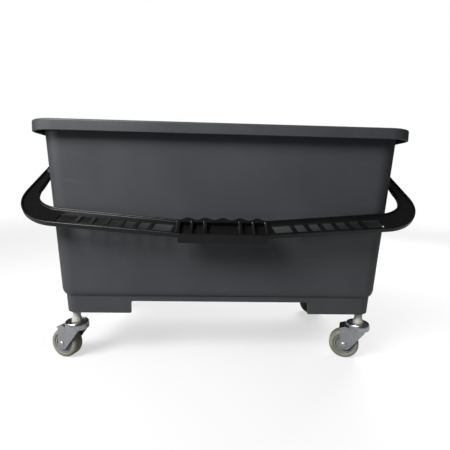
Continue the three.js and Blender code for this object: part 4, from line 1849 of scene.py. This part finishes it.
@dataclass
class CastorKit:
    """The pieces of one castor, made once, with the stem on the Z axis and the wheel along +X."""

    wheel_radius: float = 0.0213
    wheel_facets: int = 24
    tyre_width: float = 0.018
    tyre_depth: float = 0.0068
    tyre_round: float = 0.0043
    tyre_side_round: float = 0.001
    bead_inset: float = 0.0012
    bead_round: float = 0.0004
    mould_line: float = 0.0001
    core_inset: float = 0.00125
    core_seat: float = 0.0001
    core_edge: float = 0.0003
    core_rim_depth: float = 0.0022
    core_rim_round: float = 0.0004
    core_web_round: float = 0.0008
    hub_taper: float = 0.0012
    hub_foot_round: float = 0.0006
    core_recess: float = 0.0024
    hub_radius: float = 0.006
    axle_radius: float = 0.0025
    axle_head_radius: float = 0.0046
    axle_head_height: float = 0.0016
    dimple_depth: float = 0.0005
    dimple_lip_depth: float = 0.00045
    dimple_share: float = 0.2
    trail: float = 0.018
    castor_height: float = 0.055
    fork_sheet: float = 0.0018
    fork_eye_radius: float = 0.0064
    fork_side_gap: float = 0.0013
    fork_overhang: float = 0.0255
    fork_nose_drop: float = 0.0032
    fork_softness: float = 0.00045
    fork_segments: int = 2
    fork_bevel_angle: float = 42.0
    fork_eye_roundness: float = 0.98
    crown_radius: float = 0.0158
    crown_depth: float = 0.0102
    crown_flare: float = 0.0014
    shoulder_width: float = 0.0019
    shoulder_height: float = 0.0048
    nose_lift: float = 0.003
    cap_thickness: float = 0.0015
    cap_drop: float = 0.0008
    cap_dish: float = 0.0006
    stem_radius: float = 0.004
    sleeve_radius: float = 0.0055
    sleeve_flare_radius: float = 0.0072
    sleeve_flare_height: float = 0.008
    sleeve_top: float = 0.092
    sleeve_tip: float = 0.001
    steps: int = 64
    small_steps: int = 40
    arc_steps: int = 8
    fillet_steps: int = 4
    crown_fillet_steps: int = 5
    tyre_fillet_steps: int = 7
    eye_fillet_steps: int = 10
    smooth_angle: float = 35.0

    @property
    def round_wheel_radius(self) -> float:
        """The wheel's true radius: its many-sided solid stands on the middle of a side."""
        return self.wheel_radius * math.cos(math.pi / self.wheel_facets)

    @property
    def axle_z(self) -> float:
        """The axle's height."""
        return self.round_wheel_radius

    @property
    def crown_z(self) -> float:
        """The height of the crown's underside."""
        return self.castor_height - self.crown_depth

    @property
    def fork_inner(self) -> float:
        """How far the fork's legs stand from the wheel's middle, inside."""
        return self.tyre_width / 2 + self.fork_side_gap

    @property
    def fork_outer(self) -> float:
        """How far the fork's legs stand from the wheel's middle, outside."""
        return self.fork_inner + self.fork_sheet

    def along_axle(self, piece: Workpiece) -> Workpiece:
        """Turns a piece from the Z axis onto the axle."""
        turn = Matrix.Rotation(math.pi / 2, 4, "X")
        return piece.moved(Matrix.Translation((self.trail, 0.0, self.axle_z)) @ turn)

    def sleeve(self) -> Workpiece:
        """Makes the nylon sleeve round the stem, flared at its foot.

        Returns:
            The sleeve.
        """
        low = self.castor_height - self.cap_drop + GAP
        bore = self.stem_radius + GAP
        knee = low + self.sleeve_flare_height
        soft = self.sleeve_tip / 2
        corners = [
            (bore, low, 0.0),
            (self.sleeve_flare_radius, low, soft),
            (self.sleeve_flare_radius, low + self.sleeve_flare_height / 3, soft),
            (self.sleeve_radius, knee, soft),
            (self.sleeve_radius, self.sleeve_top - self.sleeve_tip, 0.0),
            (self.sleeve_radius - self.sleeve_tip, self.sleeve_top, 0.0),
            (bore, self.sleeve_top, 0.0),
        ]
        outline = rounded(corners, self.fillet_steps)
        return Workpiece.spun("sleeve", outline, self.small_steps, closed=True)

    def cap(self) -> Workpiece:
        """Makes the dished cap inside the crown's lip.

        Returns:
            The cap.
        """
        top = self.castor_height - self.cap_drop
        outer = self.crown_radius - self.fork_sheet - 2 * GAP
        bore = self.stem_radius + GAP
        dish = (outer + self.sleeve_flare_radius) / 2
        soft = self.cap_dish / 2
        corners = [
            (bore, top - self.cap_thickness, 0.0),
            (dish, top - self.cap_thickness, 0.0),
            (outer, top - self.cap_thickness - self.cap_dish / 2, soft),
            (outer, top - self.cap_dish / 2, soft),
            (dish, top, soft),
            (bore, top, 0.0),
        ]
        return Workpiece.spun("cap", rounded(corners, self.fillet_steps), self.steps, closed=True)

    def crown(self) -> Workpiece:
        """Makes the fork's round crown, open at its top.

        Returns:
            The crown.
        """
        floor = self.crown_z
        lip = self.castor_height
        radius = self.crown_radius
        flare = self.crown_flare / 2
        sheet = self.fork_sheet
        outside = radius + flare
        shoulder = [
            (
                outside - self.shoulder_width * (1 - cosine),
                lip - self.shoulder_height * (1 - sine),
                0.0,
            )
            for cosine, sine in quarter_turn(self.arc_steps)
        ]
        corners = [
            (0.0, floor, 0.0),
            (radius, floor, flare),
            (outside, floor + 2 * flare, flare),
            *shoulder,
            (radius - sheet, lip, flare / 4),
            (radius - sheet, floor + sheet, flare),
            (0.0, floor + sheet, 0.0),
        ]
        outline = rounded(corners, self.crown_fillet_steps)
        return Workpiece.spun("crown", outline, self.steps, closed=False)

    @property
    def nose_bend(self) -> Point:
        """Where the nose bends down beyond the crown, as (x, z)."""
        return self.crown_radius + self.crown_flare, self.crown_z + self.nose_lift

    def nose(self) -> Workpiece:
        """Makes the fork's nose, which rises from the crown and dips over the wheel.

        Returns:
            The nose.
        """
        floor = self.crown_z
        sheet = self.fork_sheet
        start = self.crown_radius / 2
        bend, bend_z = self.nose_bend
        nose_z = bend_z - self.fork_nose_drop
        corners = [
            (0.0, floor, 0.0),
            (start, floor, sheet),
            (bend, bend_z, 2 * sheet),
            (self.fork_overhang, nose_z, 0.0),
            (self.fork_overhang, nose_z + sheet, 0.0),
            (bend, bend_z + sheet, 2 * sheet),
            (start, floor + sheet, sheet),
            (0.0, floor + sheet, 0.0),
        ]
        outline = rounded(corners, self.fillet_steps)
        return Workpiece.prism("nose", outline, Plane.FRONT, -self.fork_outer, self.fork_outer)

    def legs(self) -> list[Workpiece]:
        """Makes the fork's two legs, round at the axle.

        Returns:
            The legs.
        """
        sheet = self.fork_sheet
        middle_z = self.crown_z + sheet / 2
        bend, bend_z = self.nose_bend
        back = self.fork_outer / 2 - self.crown_radius
        eye = self.fork_eye_radius
        eye_round = eye * self.fork_eye_roundness
        corners = [
            (self.trail - eye, self.axle_z - eye, eye_round),
            (self.trail + eye, self.axle_z - eye, eye_round),
            (self.fork_overhang - sheet, bend_z - self.fork_nose_drop + sheet / 2, 0.0),
            (bend, bend_z + sheet / 2, 0.0),
            (self.crown_radius / 2, middle_z, 0.0),
            (back, middle_z, 0.0),
            (back, self.crown_z - sheet, 0.0),
        ]
        outline = rounded(corners, self.eye_fillet_steps)
        return [
            Workpiece.prism("leg", outline, Plane.FRONT, low, low + sheet)
            for low in (-self.fork_outer, self.fork_inner)
        ]

    def fork(self) -> Workpiece:
        """Makes the pressed fork: crown, nose over the wheel, and two legs, with their bores.

        Returns:
            The fork.
        """
        floor = self.crown_z
        top = floor + self.fork_sheet
        wide = self.fork_outer + OVERRUN
        lip = self.castor_height + OVERRUN
        piece = self.crown().worked(Join.UNION, self.nose(), *self.legs())
        stem_bore = Workpiece.rod(
            "stem_bore", self.stem_radius + GAP, floor - OVERRUN, top + OVERRUN, self.small_steps
        )
        axle_bore = self.along_axle(
            Workpiece.rod("axle_bore", self.axle_radius + GAP, -wide, wide, self.small_steps)
        )
        clear = Workpiece.rod(
            "crown_clear", self.crown_radius - self.fork_sheet, top, lip, self.steps
        )
        piece.worked(Join.CUT, stem_bore, axle_bore, clear)
        return piece.cleaned().softened(
            self.fork_softness, self.fork_segments, self.fork_bevel_angle
        )

    def axle(self) -> Workpiece:
        """Makes the riveted axle, with a dimpled, domed head at each end.

        Returns:
            The axle.
        """
        seat = self.fork_outer + GAP
        head = seat + self.axle_head_height
        radius = self.axle_head_radius
        dome = [
            (radius * sine, seat + self.axle_head_height * cosine)
            for cosine, sine in quarter_turn(self.arc_steps)
        ]
        # The dome's first two points lie in the dimple.
        upper = [
            (0.0, head - self.dimple_depth),
            (radius * self.dimple_share, head - self.dimple_lip_depth),
            *dome[2:],
            (self.axle_radius, seat),
        ]
        profile = [*upper, *turned_over(upper)]
        return self.along_axle(Workpiece.spun("axle", profile, self.small_steps, closed=False))

    def tyre(self) -> Workpiece:
        """Makes the rubber tyre, with round shoulders and a fine mould line.

        Returns:
            The tyre.
        """
        half = self.tyre_width / 2
        outer = self.round_wheel_radius
        inner = self.wheel_radius - self.tyre_depth
        line = self.mould_line
        lower = [
            (inner, -half + self.bead_inset, self.bead_round),
            (outer - self.tyre_round - self.bead_inset, -half, self.tyre_side_round),
            (outer, -half, self.tyre_round),
            (outer, -2 * line, 0.0),
        ]
        corners = [*lower, (outer - line, 0.0, 0.0), *turned_over(lower)]
        outline = rounded(corners, self.tyre_fillet_steps)
        return self.along_axle(Workpiece.spun("tyre", outline, self.steps, closed=True))

    def core(self) -> Workpiece:
        """Makes the wheel's core: rim, sunk web and hub.

        Returns:
            The core.
        """
        hub = self.tyre_width / 2
        half = hub - self.core_inset
        web = half - self.core_recess
        outer = self.wheel_radius - self.tyre_depth - GAP - self.core_seat
        rim = outer - self.core_rim_depth
        lower = [
            (self.axle_radius + GAP, -hub, 0.0),
            (self.hub_radius - self.hub_taper, -hub, self.core_web_round),
            (self.hub_radius, -web, self.hub_foot_round),
            (rim, -web, self.core_web_round),
            (rim, -half, self.core_rim_round),
            (outer, -half, self.core_edge),
        ]
        outline = rounded([*lower, *turned_over(lower)], self.fillet_steps)
        return self.along_axle(Workpiece.spun("core", outline, self.steps, closed=True))

    def pieces(self) -> dict[str, Workpiece]:
        """Makes one of each piece, shaded.

        Returns:
            The pieces by name.
        """
        made = {
            "sleeve": self.sleeve(),
            "swivel_cap": self.cap(),
            "fork": self.fork(),
            "axle": self.axle(),
            "tyre": self.tyre(),
            "wheel_core": self.core(),
        }
        for piece in made.values():
            piece.shaded(self.smooth_angle)
        return made


@dataclass
class Castor:
    """One castor: where its stem stands and which way its wheel trails come from its solids."""

    name: str

    @property
    def matrix(self) -> Matrix:
        """The castor's place and turn.
        """
        stem = self.middle("stem")
        axle = self.middle("axle")
        turn = math.atan2(axle.y - stem.y, axle.x - stem.x)
        place = Matrix.Translation((stem.x, stem.y, 0.0))
        return place @ Matrix.Rotation(turn, 4, "Z")

    def middle(self, piece: str) -> Vector:
        """Returns the middle of one of the castor's nodes."""
        low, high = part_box(f"{self.name}_{piece}")
        return (low + high) / 2

    def dress(self, kit: dict[str, Workpiece], dresser: Dresser) -> None:
        """Args:
            kit: One of each piece.
            dresser: What finishes them.
        """
        fork_body = f"{self.name}_castor"
        wheel_body = f"{self.name}_wheel"
        rows = {
            "sleeve": (Slot.SLEEVE, "tub"),
            "swivel_cap": (Slot.ZINC, "tub"),
            "fork": (Slot.ZINC, fork_body),
            "axle": (Slot.STEEL, fork_body),
            "tyre": (Slot.TREAD, wheel_body),
            "wheel_core": (Slot.CORE, wheel_body),
        }
        for piece, (slot, body) in rows.items():
            node = f"{self.name}_{piece}"
            copy = kit[piece].copied(f"{node}_dressed").moved(self.matrix)
            dresser.dress(copy, slot, body, node)
        for kept in ("stem", "ball_race"):
            dresser.repaint(f"{self.name}_{kept}", Slot.STEEL)


class LampKind(Enum):
    """The kind of a lamp."""

    SKY = "SUN"
    PANEL = "AREA"


@dataclass(frozen=True)
class Lamp:
    """A soft light: an even one from the sky, or a square panel near by.

    The size is an angle in radians for the sky and an edge in metres for a panel.
    """

    name: str
    kind: LampKind
    place: Corner
    power: float
    size: float
    shows_in_gloss: bool = True

    def hang(self, target: Corner) -> None:
        """Hangs the lamp.

        Args:
            target: The point that it shines at.
        """
        data = bpy.data.lights.new(self.name, self.kind.value)
        data.energy = self.power
        if self.kind is LampKind.SKY:
            data.angle = self.size
        else:
            data.shape = "SQUARE"
            data.size = self.size
        lamp = bpy.data.objects.new(self.name, data)
        bpy.context.scene.collection.objects.link(lamp)
        lamp.location = self.place
        lamp.visible_camera = False
        lamp.visible_glossy = self.shows_in_gloss
        aim = Vector(target) - Vector(self.place)
        lamp.rotation_euler = aim.to_track_quat("-Z", "Y").to_euler()


@dataclass
class Studio:
    """A plain pale floor in front of a white backdrop, soft lights and the camera."""

    floor_size: float = 8.0
    floor_full: float = 0.55
    floor_gone: float = 2.6
    floor_colour: Colour = (0.80, 0.80, 0.80)
    floor_shade: Colour = (0.78, 0.78, 0.78)
    floor_clouds: Pattern = Pattern(3.0, 3.0)
    floor_cloud_share: float = 0.1
    floor_bounce: Colour = (0.36, 0.36, 0.36)
    floor_glow: float = 0.62
    fill: float = 0.06
    backdrop: float = 1.0
    lamps: tuple[Lamp, ...] = (
        Lamp("even_light", LampKind.SKY, (-0.9, -1.5, 1.6), 1.1, math.radians(30.0)),
        Lamp("near_light", LampKind.PANEL, (-0.62, -0.68, 0.88), 16.0, 0.5),
        Lamp("side_light", LampKind.PANEL, (-0.95, -0.4, 0.45), 1.6, 0.5),
        Lamp("back_light", LampKind.PANEL, (0.65, 0.9, 1.0), 22.0, 0.9, shows_in_gloss=False),
    )
    lamp_target: Corner = (0.0, 0.0, 0.2)
    camera_place: Corner = (-0.01557, -0.57541, 0.25385)
    camera_yaw: float = -0.0406
    camera_pitch: float = 0.1146
    camera_roll: float = 0.0222
    lens: float = 28.342
    sensor: float = 36.0
    near_clip: float = 0.01

    def floor(self) -> None:
        """Lays the floor, which fades away from the bucket and bounces less light than it shows."""
        bpy.ops.object.select_all(action="DESELECT")
        bpy.ops.mesh.primitive_plane_add(size=self.floor_size, location=(0.0, 0.0, 0.0))
        piece = Workpiece(bpy.context.object, "floor")
        shader = Shader.material("pale_floor")
        clouds = shader.noise(self.floor_clouds) * self.floor_cloud_share
        colour = shader.mixed(clouds, self.floor_colour, self.floor_shade)
        length = {"operation": "LENGTH"}
        away = shader.node("ShaderNodeVectorMath", length, {0: shader.place()}, "Value")
        faded = away.between(self.floor_full, self.floor_gone)
        seen = shader.node("ShaderNodeLightPath", output="Is Camera Ray")
        toned = shader.mixed(seen, self.floor_bounce, colour)
        pale = shader.node("ShaderNodeBsdfDiffuse", {}, {"Color": toned})
        glow = shader.node("ShaderNodeEmission", {}, {"Strength": self.backdrop})
        lit = shader.node("ShaderNodeMixShader", {}, {0: seen * self.floor_glow, 1: pale, 2: glow})
        clear = shader.node("ShaderNodeBsdfTransparent")
        surface = shader.node("ShaderNodeMixShader", {}, {0: faded, 1: lit, 2: clear})
        piece.thing.data.materials.append(shader.closed(surface))

    def air(self) -> None:
        """Sets the dim even light all round, behind a plain white backdrop."""
        world = bpy.data.worlds.new("studio")
        bpy.context.scene.world = world
        shader = Shader(world)
        seen = shader.node("ShaderNodeLightPath", output="Is Camera Ray")
        range_ends = {"Value": seen, "To Min": self.fill, "To Max": self.backdrop}
        level = shader.node("ShaderNodeMapRange", {}, range_ends)
        back = shader.node("ShaderNodeBackground", {}, {"Color": WHITE, "Strength": level})
        shader.closed(back, "ShaderNodeOutputWorld")

    def camera(self) -> None:
        """Sets up the camera."""
        data = bpy.data.cameras.new("camera")
        data.lens = self.lens
        data.sensor_width = self.sensor
        data.clip_start = self.near_clip
        camera = bpy.data.objects.new("camera", data)
        bpy.context.scene.collection.objects.link(camera)
        camera.matrix_world = (
            Matrix.Translation(self.camera_place)
            @ Matrix.Rotation(self.camera_yaw, 4, "Z")
            @ Matrix.Rotation(math.pi / 2 - self.camera_pitch, 4, "X")
            @ Matrix.Rotation(self.camera_roll, 4, "Z")
        )
        bpy.context.scene.camera = camera

    def build(self) -> None:
        """Sets up the whole studio."""
        self.floor()
        for lamp in self.lamps:
            lamp.hang(self.lamp_target)
        self.air()
        self.camera()
        bpy.context.scene.view_settings.view_transform = "Standard"


def main() -> None:
    """Builds and dresses the bucket, and sets up its studio."""
    logging.basicConfig(level=logging.INFO, format="%(message)s")
    dresser = Dresser(Finishes().materials())
    tub = Tub()
    tub.dress(dresser)
    Handle(tub).dress(dresser)
    kit = CastorKit().pieces()
    for name in ("front_left", "front_right", "rear_left", "rear_right"):
        Castor(name).dress(kit, dresser)
    for piece in kit.values():
        bpy.data.objects.remove(piece.thing)
    Studio().build()


if __name__ == "__main__":
    main()
